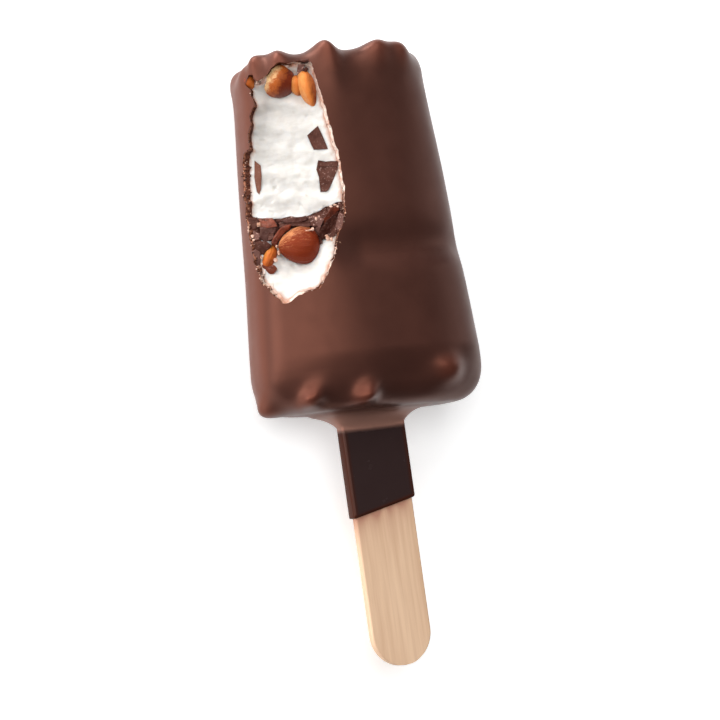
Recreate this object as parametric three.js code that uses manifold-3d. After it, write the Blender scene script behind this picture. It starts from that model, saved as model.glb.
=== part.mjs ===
// An ice cream bar on a wooden stick, lying on its back with a long bite out of its front left edge.
// Vanilla ice cream in two blocks, with a band of dark chocolate between them, under one thin
// chocolate coating that also runs down over the neck of the stick. Whole almonds and chunks of
// chocolate show in the bite.
//
// Everything is made in the bar's own frame, in millimetres: X across the bar, Y along it towards
// the top with 0 where the stick leaves the coating, Z out of the front with 0 in the middle of the
// stick. The last lines lay the bar down with its flat back on Z = 0.
import * as THREE from "three";
import { mergeVertices } from "three/addons/utils/BufferGeometryUtils.js";
import Module from "manifold-3d";

// The coated bar.
const barBottom = 4.2; // underside of the coating, beside the collar
const barTop = 86.1;
const bottomSlant = 0.8; // the underside is this much higher at the left edge and lower at the right
const bottomSlantEnd = 36; // the slant fades out up to this height
const topSlant = 0.9; // the top is this much lower at the left and higher at the right
const topSlantStart = 58;
const baseHalfWidth = 28.2; // across the widest part, near the stick
const topHalfWidth = 22.6;
const baseHalfDepth = 14.2;
const topHalfDepth = 13.3;
const taperStart = 14; // the sides close in from this height up
const sectionPower = 2.6; // 2 is an ellipse, more is squarer
const bottomCorner = 8.6; // rounding between the sides and the ends
const topCorner = 5.6;
const cornerDepth = 0.65; // the corners come in this much less at the front and back
const endDome = 0.5;
const lumpReach = 9; // near the ends the lumps need closer levels, over this height
const restDepth = 12.9; // the back is flat from here on, where the bar rests
const waistHeight = 40.6; // a faint groove over the chocolate band
const waistDepth = 0.4;
const waistSpread = 2.6;
const coatThickness = 1.6;
const pieceGap = 0.3;
const detail = 0.1; // surfaces may be flattened by this much

// Almonds under the coating make lumps: angle round the bar from its right edge towards the front,
// height along the bar, how far the lump stands out, and its half size around and along the bar.
const topLumps = [
  { angle: 8, height: 84.4, rise: 1.4, around: 2.2, along: 3.0 },
  { angle: 51, height: 84.9, rise: 2.2, around: 1.9, along: 3.2 },
  { angle: 73, height: 85.3, rise: 2.5, around: 2.2, along: 3.6 },
  { angle: 101.5, height: 85.5, rise: 3.0, around: 2.1, along: 3.9 },
  { angle: 139, height: 85.1, rise: 2.1, around: 1.8, along: 3.2 },
  { angle: 164, height: 84.8, rise: 2.6, around: 1.6, along: 2.6 },
  { angle: 188, height: 84.0, rise: -0.3, around: 6.0, along: 3.6 },
  { angle: 206, height: 84.2, rise: 1.5, around: 2.0, along: 2.8 },
  { angle: 241, height: 84.8, rise: 2.2, around: 2.1, along: 3.4 },
  { angle: 272, height: 85.2, rise: 2.6, around: 2.3, along: 3.8 },
  { angle: 305, height: 84.8, rise: 2.2, around: 2.1, along: 3.4 },
  { angle: 334, height: 84.9, rise: 2.0, around: 1.9, along: 3.0 },
];
const bottomLumps = [
  { angle: 66.5, height: 10.8, rise: 2.3, around: 2.5, along: 2.3 },
  { angle: 102, height: 5.8, rise: 2.6, around: 3.1, along: 2.9 },
  { angle: 134, height: 6.6, rise: 2.4, around: 2.8, along: 2.5 },
  { angle: 177, height: 7.0, rise: 2.4, around: 2.9, along: 3.2 },
  { angle: 218, height: 8.0, rise: 2.0, around: 2.8, along: 2.6 },
  { angle: 262, height: 7.4, rise: 2.3, around: 3.0, along: 2.8 },
  { angle: 301, height: 9.2, rise: 2.1, around: 2.7, along: 2.5 },
  { angle: 342, height: 8.6, rise: 1.2, around: 2.8, along: 2.8 },
];
const bottomLumpDroop = 0.45; // how much of the surface's downward slope a bottom lump follows
const bottomLumpBluff = 1.5; // the bottom lumps are domes, those at the top rise to a point
const frameSteps = [1, 24, 12, 12]; // fine levels that the lumps are placed on

// The stick and the chocolate on it.
const stickLength = 93;
const stickWidth = 15.2;
const stickThickness = 2;
const stickEnd = -54.6; // the bare end
const stickOffset = -1.4; // the stick went in a little left of the middle
const stickBevel = 0.35;
const dipLeft = -20.2; // where the chocolate ends at the stick's two edges
const dipRight = -16.9;
const dipThickness = 0.5;
const dipEase = 0.5; // rounding of its edges
const collarHeight = 4.4; // the coating swells round the stick where it leaves the bar
const collarReach = 8;
const collarPower = 1.6; // 2 would flare as a quarter circle
const collarRoot = 2.0; // how far the collar runs on into the coating
const collarSquareWidth = 0.45; // 1 is an ellipse, less is squarer
const collarSquareDepth = 0.6;
const collarRings = 7;

// The bite, drawn on a plane that faces out of the front left corner: U runs right across the
// corner, V up the bar, and W out of the bar.
const biteTurn = THREE.MathUtils.degToRad(28);
const biteCentre = [-11.2, 58];
const biteOutline = [
  [-15.7, 80.2], [-13.6, 81.3], [-11.2, 83.1], [-7.1, 83.8], [-3.5, 83.3], [-2.1, 77.6], [-0.8, 69.0],
  [0.4, 58.6], [0.3, 52.0], [-1.5, 45.0], [-3.8, 39.2], [-7.3, 32.6], [-11.8, 31.0], [-16.2, 29.5],
  [-19.8, 33.0], [-21.7, 37.8], [-22.5, 47.5], [-22.3, 58.0], [-20.6, 65.0], [-18.6, 72.5],
  [-17.7, 78.6], [-18.6, 80.9], [-17.3, 82.3], [-16.3, 81.4],
];
const biteFloor = 11.9; // W of the floor in the middle
const biteTilt = 0.11; // the floor climbs this much per millimetre towards U
const biteHollow = 0.9; // the floor dips this much more in the middle
const biteRamp = 3.2; // the floor rises to the coating over this distance
const biteLongRamp = 10; // and over this at the bite's lower end
const biteLowerEnd = 47; // which starts below this height
const biteJag = 0.35;
const toothRidge = 0.2;
const toothPitch = 5.5;
const biteSides = 66;
const biteRings = 9;
const farOut = 40; // well clear of the bar

// The chocolate band: its upper and lower edge along U, and how far it stands out of the ice cream.
const bandUpper = [
  [-31, 50.6], [-22, 51.1], [-17.6, 49.4], [-13.4, 49.5], [-9.2, 48.9], [-4.4, 50.4], [0, 50.9], [31, 50.2],
];
const bandLower = [
  [-31, 45.6], [-22, 45.0], [-17.9, 45.2], [-12.2, 46.8], [-8.6, 45.4], [-5.2, 42.9], [0, 44.4], [31, 45.6],
];
const bandProud = 0.5;
const bandGap = 0.15; // on each side, to the ice cream
const bandColumns = 40;

// Almonds in the bite, all along U, V, W: the middle, the way the tip points, the way the flat
// side faces, and a size of [length, width, thickness].
const almonds = {
  almond_top_left: {
    at: [-11.4, 80.9, 9.5],
    tip: [-0.05, 0.08, -1],
    flat: [1, 0, 0],
    size: [13, 8.4, 7.6],
  },
  almond_top_right: {
    at: [-5.1, 77.5, 11.9],
    tip: [0.2, -0.95, 0.2],
    flat: [1, 0.2, 0],
    size: [8.8, 8, 4.4],
  },
  almond_edge: {
    at: [-16.9, 81.0, 11.6],
    tip: [0.3, 0.1, -0.9],
    flat: [1, 0, 0.3],
    size: [7, 4.4, 3.2],
  },
  almond_middle: {
    at: [-11.4, 42.7, 12.2],
    tip: [0.86, -0.08, 0.4],
    flat: [-0.4, 0, 0.9],
    size: [10.2, 9.2, 7.4],
  },
  almond_left: {
    at: [-18.3, 40.9, 10.8],
    tip: [0.4, 0.8, -0.4],
    flat: [0.9, -0.4, 0.2],
    size: [8.2, 5.4, 3.3],
  },
};
const almondSteps = 10;
const almondSides = 14;

// Chunks of dark chocolate that the bite cut through: outlines in U and V, cut off at the bite.
const chunks = {
  chunk_right_upper: [[-3.3, 69.2], [-5.9, 67.3], [-5.2, 63.9], [-2.0, 63.3]],
  chunk_right_lower: [[-4.8, 61.1], [-0.3, 60.4], [-0.7, 58.2], [-2.9, 53.9], [-4.9, 54.2], [-5.3, 59.6]],
  chunk_left: [[-19.3, 63.6], [-18.0, 62.2], [-18.0, 58.2], [-18.8, 56.1], [-19.5, 56.4], [-19.7, 60.0]],
  chunk_top: [[-3.9, 82.9], [-6.9, 82.9], [-6.6, 82.1], [-4.4, 82.0]],
};
const chunkDeep = 8.5; // W of a chunk's buried end
const chunkLength = 16; // before the bite cuts it
const chunkProud = 0.25;

const wasm = await Module();
wasm.setup();

function solidOf(geometry) {
  const bare = geometry.clone();
  bare.deleteAttribute("normal");
  bare.deleteAttribute("uv");
  const merged = mergeVertices(bare, 1e-4);
  return new wasm.Manifold(
    new wasm.Mesh({
      numProp: 3,
      vertProperties: new Float32Array(merged.attributes.position.array),
      triVerts: new Uint32Array(merged.index.array),
    }),
  );
}

function geometryOf(solid) {
  const mesh = solid.getMesh();
  const geometry = new THREE.BufferGeometry();
  geometry.setAttribute("position", new THREE.BufferAttribute(mesh.vertProperties, 3));
  geometry.setIndex(new THREE.BufferAttribute(mesh.triVerts, 1));
  geometry.computeVertexNormals();
  return geometry;
}

// A repeatable number from -1 to 1 for each whole number.
function scatter(n) {
  const s = Math.sin(n * 127.1 + 11.7) * 43758.5453;
  return 2 * (s - Math.floor(s)) - 1;
}

const signedPower = (value, power) => Math.sign(value) * Math.abs(value) ** power;

// Half width and half depth of the bar's sides at height y, g inside the coating's surface.
function sideSize(y, g) {
  const share = THREE.MathUtils.clamp((y - taperStart) / (barTop - taperStart), 0, 1);
  const groove = waistDepth * Math.exp(-(((y - waistHeight) / waistSpread) ** 2));
  return {
    width: THREE.MathUtils.lerp(baseHalfWidth, topHalfWidth, share) - groove - g,
    depth: THREE.MathUtils.lerp(baseHalfDepth, topHalfDepth, share) - groove - g,
  };
}

// The levels of the bar from its bottom to its top: a height, how far the rounded corner has come
// in from the sides, and the share of the end face that is left.
function barLevels(g, faceSteps, cornerSteps, endSteps, middleSteps) {
  const low = barBottom + g;
  const high = barTop - g;
  const lowCorner = bottomCorner - g;
  const highCorner = topCorner - g;
  const levels = [];
  for (let i = 0; i < faceSteps; i++) {
    const share = i / faceSteps;
    levels.push({ y: low - endDome * (1 - share * share), inset: lowCorner, share });
  }
  for (let i = 0; i < cornerSteps; i++) {
    const turn = (Math.PI / 2) * (i / cornerSteps);
    const inset = lowCorner * (1 - Math.sin(turn));
    levels.push({ y: low + lowCorner * (1 - Math.cos(turn)), inset, share: 1 });
  }
  const start = low + lowCorner;
  const finish = high - highCorner;
  const addStraight = (from, length, steps) => {
    for (let i = 0; i < steps; i++) levels.push({ y: from + (length * i) / steps, inset: 0, share: 1 });
  };
  addStraight(start, lumpReach, endSteps);
  addStraight(start + lumpReach, finish - start - 2 * lumpReach, middleSteps);
  addStraight(finish - lumpReach, lumpReach, endSteps);
  for (let i = 0; i < cornerSteps; i++) {
    const turn = (Math.PI / 2) * (i / cornerSteps);
    const inset = highCorner * (1 - Math.cos(turn));
    levels.push({ y: finish + highCorner * Math.sin(turn), inset, share: 1 });
  }
  for (let i = 0; i <= faceSteps; i++) {
    const share = 1 - i / faceSteps;
    levels.push({ y: high + endDome * (1 - share * share), inset: highCorner, share });
  }
  return levels;
}

function barPoint(level, angle, g) {
  const side = sideSize(level.y, g);
  const width = (side.width - level.inset) * level.share;
  const depth = (side.depth - level.inset * cornerDepth) * level.share;
  const x = width * signedPower(Math.cos(angle), 2 / sectionPower);
  const z = depth * signedPower(Math.sin(angle), 2 / sectionPower);
  const low = bottomSlant * (1 - THREE.MathUtils.smoothstep(level.y, barBottom, bottomSlantEnd));
  const high = topSlant * THREE.MathUtils.smoothstep(level.y, topSlantStart, barTop - 2);
  const y = level.y + (high - low) * (x / baseHalfWidth);
  return new THREE.Vector3(x, y, Math.max(z, g - restDepth));
}

// A lump's middle on the plain bar, and the three directions it spreads in.
function lumpFrame(lump) {
  const levels = barLevels(0, ...frameSteps).filter((level) => level.share === 1);
  const nearest = (y) =>
    levels.reduce((best, level, i) => (Math.abs(level.y - y) < Math.abs(levels[best].y - y) ? i : best), 0);
  const angle = THREE.MathUtils.degToRad(lump.angle);
  const i = THREE.MathUtils.clamp(nearest(lump.height), 1, levels.length - 2);
  const middle = barPoint(levels[i], angle, 0);
  const along = barPoint(levels[i + 1], angle, 0).sub(barPoint(levels[i - 1], angle, 0)).normalize();
  const around = barPoint(levels[i], angle + 0.03, 0).sub(barPoint(levels[i], angle - 0.03, 0)).normalize();
  const out = new THREE.Vector3().crossVectors(along, around).normalize();
  if (out.dot(new THREE.Vector3(middle.x, 0, middle.z)) < 0) out.negate();
  if (out.y < 0) out.setY(out.y * bottomLumpDroop).normalize();
  return { ...lump, middle, alongWay: along, aroundWay: around, out };
}

// The bar's surface g inside the coating, with lumps where they are asked for.
function barSolid(g, aroundSteps, steps, lumps = []) {
  const levels = barLevels(g, ...steps);
  const geometry = new THREE.SphereGeometry(1, aroundSteps, levels.length - 1);
  const position = geometry.attributes.position;
  const frames = lumps.map(lumpFrame);
  for (let i = 0; i < position.count; i++) {
    const row = Math.floor(i / (aroundSteps + 1));
    const column = i % (aroundSteps + 1);
    const level = levels[levels.length - 1 - row];
    const angle = (-2 * Math.PI * (column % aroundSteps)) / aroundSteps;
    const point = barPoint(level, angle, g);
    const moved = point.clone();
    for (const lump of frames) {
      const away = point.clone().sub(lump.middle);
      const spread =
        (away.dot(lump.aroundWay) / lump.around) ** 2 +
        (away.dot(lump.alongWay) / lump.along) ** 2 +
        (away.dot(lump.out) / (2 * lump.along)) ** 2;
      const bluff = lump.height < barTop / 2 ? bottomLumpBluff : 1;
      moved.addScaledVector(lump.out, lump.rise * Math.exp(-((spread / 2) ** bluff)));
    }
    moved.z = Math.max(moved.z, g - restDepth);
    position.setXYZ(i, moved.x, moved.y, moved.z);
  }
  return solidOf(geometry);
}

// From the bite's U, V, W to the bar's X, Y, Z.
const biteAcross = new THREE.Vector3(Math.cos(biteTurn), 0, Math.sin(biteTurn));
const biteOut = new THREE.Vector3(-Math.sin(biteTurn), 0, Math.cos(biteTurn));
function fromBite(u, v, w) {
  return new THREE.Vector3(0, v, 0).addScaledVector(biteAcross, u).addScaledVector(biteOut, w);
}

// W of the coating's surface over a point of the bite plane.
function surfaceOver(u, v) {
  const y = THREE.MathUtils.clamp(v, barBottom + 1.5, barTop - 0.6);
  let inset = 0;
  if (y > barTop - topCorner) {
    const rise = (y - (barTop - topCorner)) / topCorner;
    inset = topCorner * (1 - Math.sqrt(1 - rise * rise));
  }
  const side = sideSize(y, 0);
  const width = side.width - inset;
  const depth = side.depth - inset * cornerDepth;
  let low = 4;
  let high = 24;
  for (let i = 0; i < 24; i++) {
    const middle = (low + high) / 2;
    const point = fromBite(u, y, middle);
    const inside = Math.abs(point.x / width) ** sectionPower + Math.abs(point.z / depth) ** sectionPower < 1;
    if (inside) low = middle;
    else high = middle;
  }
  return low;
}

// The way the coating faces over a point of the bite plane, along U, V, W.
function facingOver(u, v) {
  const step = 0.4;
  const slopeU = (surfaceOver(u + step, v) - surfaceOver(u - step, v)) / (2 * step);
  const slopeV = (surfaceOver(u, v + step) - surfaceOver(u, v - step)) / (2 * step);
  return new THREE.Vector3(-slopeU, -slopeV, 1).normalize();
}

// What the bite took away: a rough floor that rises to the inside of the coating, then a cut
// square through the coating. The floor is lifted to leave the harder pieces a little proud.
function biteSolid(lift) {
  const outline = new THREE.CatmullRomCurve3(
    biteOutline.map(([u, v]) => new THREE.Vector3(u, v, 0)),
    true,
    "catmullrom",
    0.3,
  ).getSpacedPoints(biteSides);
  const edges = outline.slice(0, biteSides).map((point, column) => {
    const u = point.x + biteJag * scatter(column);
    const v = point.y + biteJag * scatter(column + 500);
    const rim = new THREE.Vector3(u, v, surfaceOver(u, v));
    const facing = facingOver(u, v);
    const inner = rim.clone().addScaledVector(facing, -coatThickness);
    const outer = rim.clone().setZ(rim.z + 4);
    const low = THREE.MathUtils.smoothstep(biteLowerEnd - v, 0, 9);
    const ramp = THREE.MathUtils.lerp(biteRamp, biteLongRamp, low);
    const reach = Math.hypot(inner.x - biteCentre[0], inner.y - biteCentre[1]);
    return { rim, inner, outer, rampStart: Math.max(0.05, 1 - ramp / reach) };
  });
  const rows = biteRings + 4;
  const geometry = new THREE.SphereGeometry(1, biteSides, rows);
  const position = geometry.attributes.position;
  for (let i = 0; i < position.count; i++) {
    const row = rows - Math.floor(i / (biteSides + 1));
    const edge = edges[(i % (biteSides + 1)) % biteSides];
    const point = new THREE.Vector3(...biteCentre, farOut);
    if (row < biteRings) {
      const share = (row / biteRings) ** 0.7;
      point.x = THREE.MathUtils.lerp(biteCentre[0], edge.inner.x, share);
      point.y = THREE.MathUtils.lerp(biteCentre[1], edge.inner.y, share);
      const ridge = toothRidge * Math.sin((2 * Math.PI * point.y) / toothPitch + 0.25 * point.x);
      const tilt = biteTilt * (point.x - biteCentre[0]);
      const floor = biteFloor + tilt - biteHollow * (1 - share * share) + ridge + lift;
      const climb = THREE.MathUtils.smoothstep(share, edge.rampStart, 1);
      point.z = THREE.MathUtils.lerp(floor, edge.inner.z, climb);
    } else if (row === biteRings) point.copy(edge.inner);
    else if (row === biteRings + 1) point.copy(edge.rim);
    else if (row === biteRings + 2) point.copy(edge.outer);
    else if (row === biteRings + 3) point.set(edge.outer.x, edge.outer.y, farOut);
    const placed = fromBite(point.x, point.y, point.z);
    position.setXYZ(i, placed.x, placed.y, placed.z);
  }
  const solid = solidOf(geometry);
  return solid.volume() < 0 ? turnedRight(geometry) : solid;
}

// The same surface with its faces turned to point outwards.
function turnedRight(geometry) {
  const turned = geometry.clone();
  const index = turned.index.array;
  for (let i = 0; i < index.length; i += 3) [index[i + 1], index[i + 2]] = [index[i + 2], index[i + 1]];
  return solidOf(turned);
}

// A flat board with round ends and eased edges, grown by g on every side.
function stickSolid(g) {
  const half = stickWidth / 2 + g - stickBevel;
  const low = stickEnd - g + stickBevel + half;
  const high = stickEnd + stickLength + g - stickBevel - half;
  const outline = new THREE.Shape();
  outline.absarc(0, high, half, 0, Math.PI, false);
  outline.absarc(0, low, half, Math.PI, 2 * Math.PI, false);
  const geometry = new THREE.ExtrudeGeometry(outline, {
    depth: stickThickness + 2 * g - 2 * stickBevel,
    bevelThickness: stickBevel,
    bevelSize: stickBevel,
    bevelSegments: 2,
    curveSegments: 10,
  });
  geometry.translate(stickOffset, 0, -stickThickness / 2 - g + stickBevel);
  return solidOf(geometry);
}

// The chocolate on the stick's neck: a sleeve with a slanted end.
function sleeveSolid() {
  const half = stickWidth / 2 + pieceGap + dipThickness;
  const thick = stickThickness + 2 * (pieceGap + dipThickness);
  const outline = new THREE.Shape([
    new THREE.Vector2(-half + dipEase, dipLeft + dipEase),
    new THREE.Vector2(half - dipEase, dipRight + dipEase),
    new THREE.Vector2(half - dipEase, barBottom + coatThickness),
    new THREE.Vector2(-half + dipEase, barBottom + coatThickness),
  ]);
  const geometry = new THREE.ExtrudeGeometry(outline, {
    depth: thick - 2 * dipEase,
    bevelThickness: dipEase,
    bevelSize: dipEase,
    bevelSegments: 2,
  });
  geometry.translate(stickOffset, 0, -thick / 2 + dipEase);
  return solidOf(geometry);
}

// The collar: the sleeve's outline flares out into the bar's underside.
function collarSolid() {
  const half = stickWidth / 2 + pieceGap + dipThickness;
  const thin = stickThickness / 2 + pieceGap + dipThickness;
  const geometry = new THREE.CylinderGeometry(1, 1, 1, 40, collarRings + 1);
  const position = geometry.attributes.position;
  for (let i = 0; i < position.count; i++) {
    const ring = (position.getY(i) + 0.5) * (collarRings + 1);
    const share = Math.min(ring / collarRings, 1);
    const flare = collarReach * (1 - (1 - share ** collarPower) ** (1 / collarPower));
    const rim = Math.hypot(position.getX(i), position.getZ(i)) > 0.5 ? 1 : 0;
    const angle = Math.atan2(position.getZ(i), position.getX(i));
    const x = rim * (half + flare) * signedPower(Math.cos(angle), collarSquareWidth);
    const z = rim * (thin + 0.75 * flare) * signedPower(Math.sin(angle), collarSquareDepth);
    const y = share * collarHeight + (ring > collarRings ? collarRoot : 0);
    position.setXYZ(i, x + stickOffset, y, z);
  }
  return solidOf(geometry);
}

// Everything between two wavy surfaces across the bar, each given along U.
function bandSolid(upper, lower, grow) {
  const edgeOf = (points) => new THREE.CatmullRomCurve3(points.map(([u, v]) => new THREE.Vector3(u, v, 0)));
  const heightAt = (curve, u) => {
    let low = 0;
    let high = 1;
    for (let i = 0; i < 20; i++) {
      const middle = (low + high) / 2;
      if (curve.getPoint(middle).x < u) low = middle;
      else high = middle;
    }
    return curve.getPoint(low).y;
  };
  const upperEdge = edgeOf(upper);
  const lowerEdge = edgeOf(lower);
  const outline = new THREE.Shape();
  const reach = baseHalfWidth + 1;
  const at = (i) => -reach + (2 * reach * i) / bandColumns;
  outline.moveTo(at(0), heightAt(lowerEdge, at(0)) - grow);
  for (let i = 1; i <= bandColumns; i++) outline.lineTo(at(i), heightAt(lowerEdge, at(i)) - grow);
  for (let i = bandColumns; i >= 0; i--) outline.lineTo(at(i), heightAt(upperEdge, at(i)) + grow);
  const geometry = new THREE.ExtrudeGeometry(outline, { depth: 2 * farOut, bevelEnabled: false });
  geometry.translate(0, 0, -farOut);
  geometry.rotateY(-biteTurn);
  return solidOf(geometry);
}

// An almond grown by g: round at one end, drawn to a tip at the other, and flattened.
function almondSolid({ at, tip, flat, size }, g) {
  const profile = [];
  for (let i = 0; i <= almondSteps; i++) {
    const turn = Math.PI * (i / almondSteps);
    const along = -Math.cos(turn);
    const width = Math.sin(turn) ** 0.92 * (1 - 0.2 * along - 0.08 * along * along);
    profile.push(new THREE.Vector2(i % almondSteps === 0 ? 0 : width / 2, along / 2));
  }
  const geometry = new THREE.LatheGeometry(profile, almondSides);
  geometry.scale(size[1] + 2 * g, size[0] + 2 * g, size[2] + 2 * g);
  const length = fromBite(...tip).normalize();
  const width = new THREE.Vector3().crossVectors(length, fromBite(...flat)).normalize();
  const thickness = new THREE.Vector3().crossVectors(width, length);
  geometry.applyMatrix4(new THREE.Matrix4().makeBasis(width, length, thickness));
  const middle = fromBite(...at);
  geometry.translate(middle.x, middle.y, middle.z);
  return solidOf(geometry);
}

// A chunk grown by g, before the bite cuts its face.
function chunkSolid(outline, g) {
  const shape = new THREE.Shape(outline.map(([u, v]) => new THREE.Vector2(u, v)));
  const geometry = new THREE.ExtrudeGeometry(shape, {
    depth: chunkLength + 2 * g,
    bevelEnabled: g > 0,
    bevelThickness: 0.01,
    bevelSize: g,
    bevelSegments: 1,
  });
  geometry.translate(0, 0, chunkDeep - g);
  geometry.rotateY(-biteTurn);
  return solidOf(geometry);
}

// Steps over each end face, each rounded corner, the lumps' height and the stretch between, and
// the number of steps round the bar.
const outerSteps = [5, 8, 7, 6];
const outerSides = 88;
const innerSteps = [2, 4, 2, 4];
const innerSides = 40;

const bite = biteSolid(0);
const almondNames = Object.keys(almonds);
const chunkNames = Object.keys(chunks);
const grownAlmonds = almondNames.map((name) => almondSolid(almonds[name], pieceGap));
const grownChunks = chunkNames.map((name) => chunkSolid(chunks[name], pieceGap));
const grownStick = stickSolid(pieceGap);
const take = (solid, others) => others.reduce((left, other) => left.subtract(other), solid);
const largest = (solid) =>
  solid.decompose().reduce((best, body) => (body.volume() > best.volume() ? body : best));

const coating = take(
  barSolid(0, outerSides, outerSteps, [...topLumps, ...bottomLumps]).add(collarSolid()).add(sleeveSolid()),
  [barSolid(coatThickness, innerSides, innerSteps), grownStick, bite, ...grownAlmonds, ...grownChunks],
);
const filling = barSolid(coatThickness + pieceGap, innerSides, innerSteps);
const core = take(filling, [grownStick, bite, ...grownAlmonds, ...grownChunks]);
const bandRoom = bandSolid(bandUpper, bandLower, bandGap);
const band = take(filling.intersect(bandSolid(bandUpper, bandLower, -bandGap)), [
  biteSolid(bandProud),
  ...grownAlmonds,
  ...grownChunks,
]);
const blocks = core
  .subtract(bandRoom)
  .decompose()
  .sort((a, b) => b.volume() - a.volume())
  .slice(0, 2)
  .sort((a, b) => b.boundingBox().max[1] - a.boundingBox().max[1]);

const dark = { color: 0x2c1510, roughness: 0.5, metalness: 0 };
const almondSkin = { color: 0xa5571f, roughness: 0.55, metalness: 0 };
const vanilla = { color: 0xf3efe4, roughness: 0.75, metalness: 0 };
const milkChocolate = { color: 0x5a3229, roughness: 0.4, metalness: 0 };
const birch = { color: 0xdcb98f, roughness: 0.7, metalness: 0 };

const bar = new THREE.Group();
function addPiece(name, solid, look) {
  const geometry = geometryOf(largest(solid.simplify(detail)));
  const mesh = new THREE.Mesh(geometry, new THREE.MeshStandardMaterial(look));
  mesh.name = name;
  bar.add(mesh);
}

addPiece("stick", stickSolid(0), birch);
addPiece("chocolate_coating", coating, milkChocolate);
addPiece("ice_cream_upper", blocks[0], vanilla);
addPiece("ice_cream_lower", blocks[1], vanilla);
addPiece("chocolate_band", band, dark);
const chunkBite = biteSolid(chunkProud);
for (const name of almondNames) {
  const whole = almondSolid(almonds[name], 0);
  const bitten = name === "almond_edge"; // this one was bitten through
  addPiece(name, bitten ? whole.subtract(chunkBite) : whole, almondSkin);
}
for (const name of chunkNames) {
  addPiece(name, chunkSolid(chunks[name], 0).subtract(chunkBite), dark);
}

// Lay the bar down: the middle of its outline over the origin, its flat back on the ground.
const bounds = new THREE.Box3().setFromObject(bar);
const middle = bounds.getCenter(new THREE.Vector3());
bar.position.set(-middle.x, -middle.y, restDepth);

export default bar;
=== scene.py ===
import math
import random

import bmesh
import bpy
import numpy as np
from mathutils import Matrix, Vector, noise
from mathutils.bvhtree import BVHTree
from mathutils.kdtree import KDTree


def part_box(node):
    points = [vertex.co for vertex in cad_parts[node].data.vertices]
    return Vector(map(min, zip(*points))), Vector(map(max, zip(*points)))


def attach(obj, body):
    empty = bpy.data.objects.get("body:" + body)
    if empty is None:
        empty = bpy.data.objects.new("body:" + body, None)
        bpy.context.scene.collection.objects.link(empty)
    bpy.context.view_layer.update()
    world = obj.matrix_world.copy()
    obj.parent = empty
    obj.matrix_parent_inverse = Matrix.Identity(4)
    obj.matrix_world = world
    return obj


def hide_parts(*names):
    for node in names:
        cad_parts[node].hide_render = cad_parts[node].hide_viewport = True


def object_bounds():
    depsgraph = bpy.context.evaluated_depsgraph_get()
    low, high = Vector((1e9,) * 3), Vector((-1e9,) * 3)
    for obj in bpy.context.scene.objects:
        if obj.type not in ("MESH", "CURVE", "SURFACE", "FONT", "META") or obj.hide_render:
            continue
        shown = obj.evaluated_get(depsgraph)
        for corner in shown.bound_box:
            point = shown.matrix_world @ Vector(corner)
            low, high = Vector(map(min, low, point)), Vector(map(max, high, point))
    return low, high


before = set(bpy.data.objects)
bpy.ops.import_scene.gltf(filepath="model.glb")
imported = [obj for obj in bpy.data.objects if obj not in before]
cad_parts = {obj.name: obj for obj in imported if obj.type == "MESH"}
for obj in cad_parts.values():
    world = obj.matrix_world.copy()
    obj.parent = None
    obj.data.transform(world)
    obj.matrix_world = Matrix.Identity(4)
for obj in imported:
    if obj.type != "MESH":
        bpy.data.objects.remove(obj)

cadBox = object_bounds()

# "end" is the height of the bare end, "offset" how far the stick stands from the bar's middle
stick = {
    "length": 93, "width": 15.2, "thickness": 2.0, "end": -54.6, "offset": -1.4,
    "rows": 150, "columns": 40, "bevel": 0.38, "grain": 0.012,
    "play": 0.05, "playRows": 40, "playColumns": 6,  # the room that it has in the bar
}
stickLow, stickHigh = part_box("stick")
metres = 0.001
neck = Vector((
    (stickLow.x + stickHigh.x) / 2 - stick["offset"] * metres,
    stickLow.y - stick["end"] * metres,
    (stickLow.z + stickHigh.z) / 2,
))
toFrame = Matrix.Translation(neck) @ Matrix.Scale(metres, 4)


def mix(a, b, share):
    return a + (b - a) * share


# from 0 at low to 1 at high, with soft ends
def smooth(value, low, high):
    share = min(max((value - low) / (high - low), 0.0), 1.0)
    return share * share * (3 - 2 * share)


def signedPower(value, power):
    return math.copysign(abs(value) ** power, value)


def faceOutward(bm):
    bm.normal_update()
    bmesh.ops.recalc_face_normals(bm, faces=bm.faces)


bar = {
    "bottom": 4.2, "top": 86.1, "bottomSlant": 0.8, "slantEnd": 36, "topSlant": 0.9, "slantStart": 58,
    "baseWidth": 28.2, "topWidth": 22.6, "baseDepth": 14.2, "topDepth": 13.3, "taperStart": 14,
    "power": 2.6, "bottomCorner": 8.6, "topCorner": 5.6, "cornerDepth": 0.65, "dome": 0.5,
    "lumpReach": 9, "back": 12.9,  # the flat back lies this far behind the middle
    # how far the front falls back above the lower lumps, and from where to where across and along
    "chin": 1.7, "chinAcross": (-9, 3), "chinAlong": (17.5, 10), "chinLeft": 0.5,
    # the groove where the two halves of the filling meet; it runs to the right of the bite
    "waist": 40.0, "waistDepth": 1.55, "waistAbove": 4.6, "waistBelow": 3.6, "waistFrom": (-13, -3),
    "thickness": 1.6, "creamGap": 0.02, "unevenness": 0.2, "unevenSize": (10, 19, 10),
    # steps over the bottom face, the corners, the lumps' height, the middle and the top face
    "fineSteps": (34, 22, 26, 46, 12), "fineSides": 300,
    "innerSteps": (4, 8, 8, 20, 4), "innerSides": 110,
}
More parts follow.
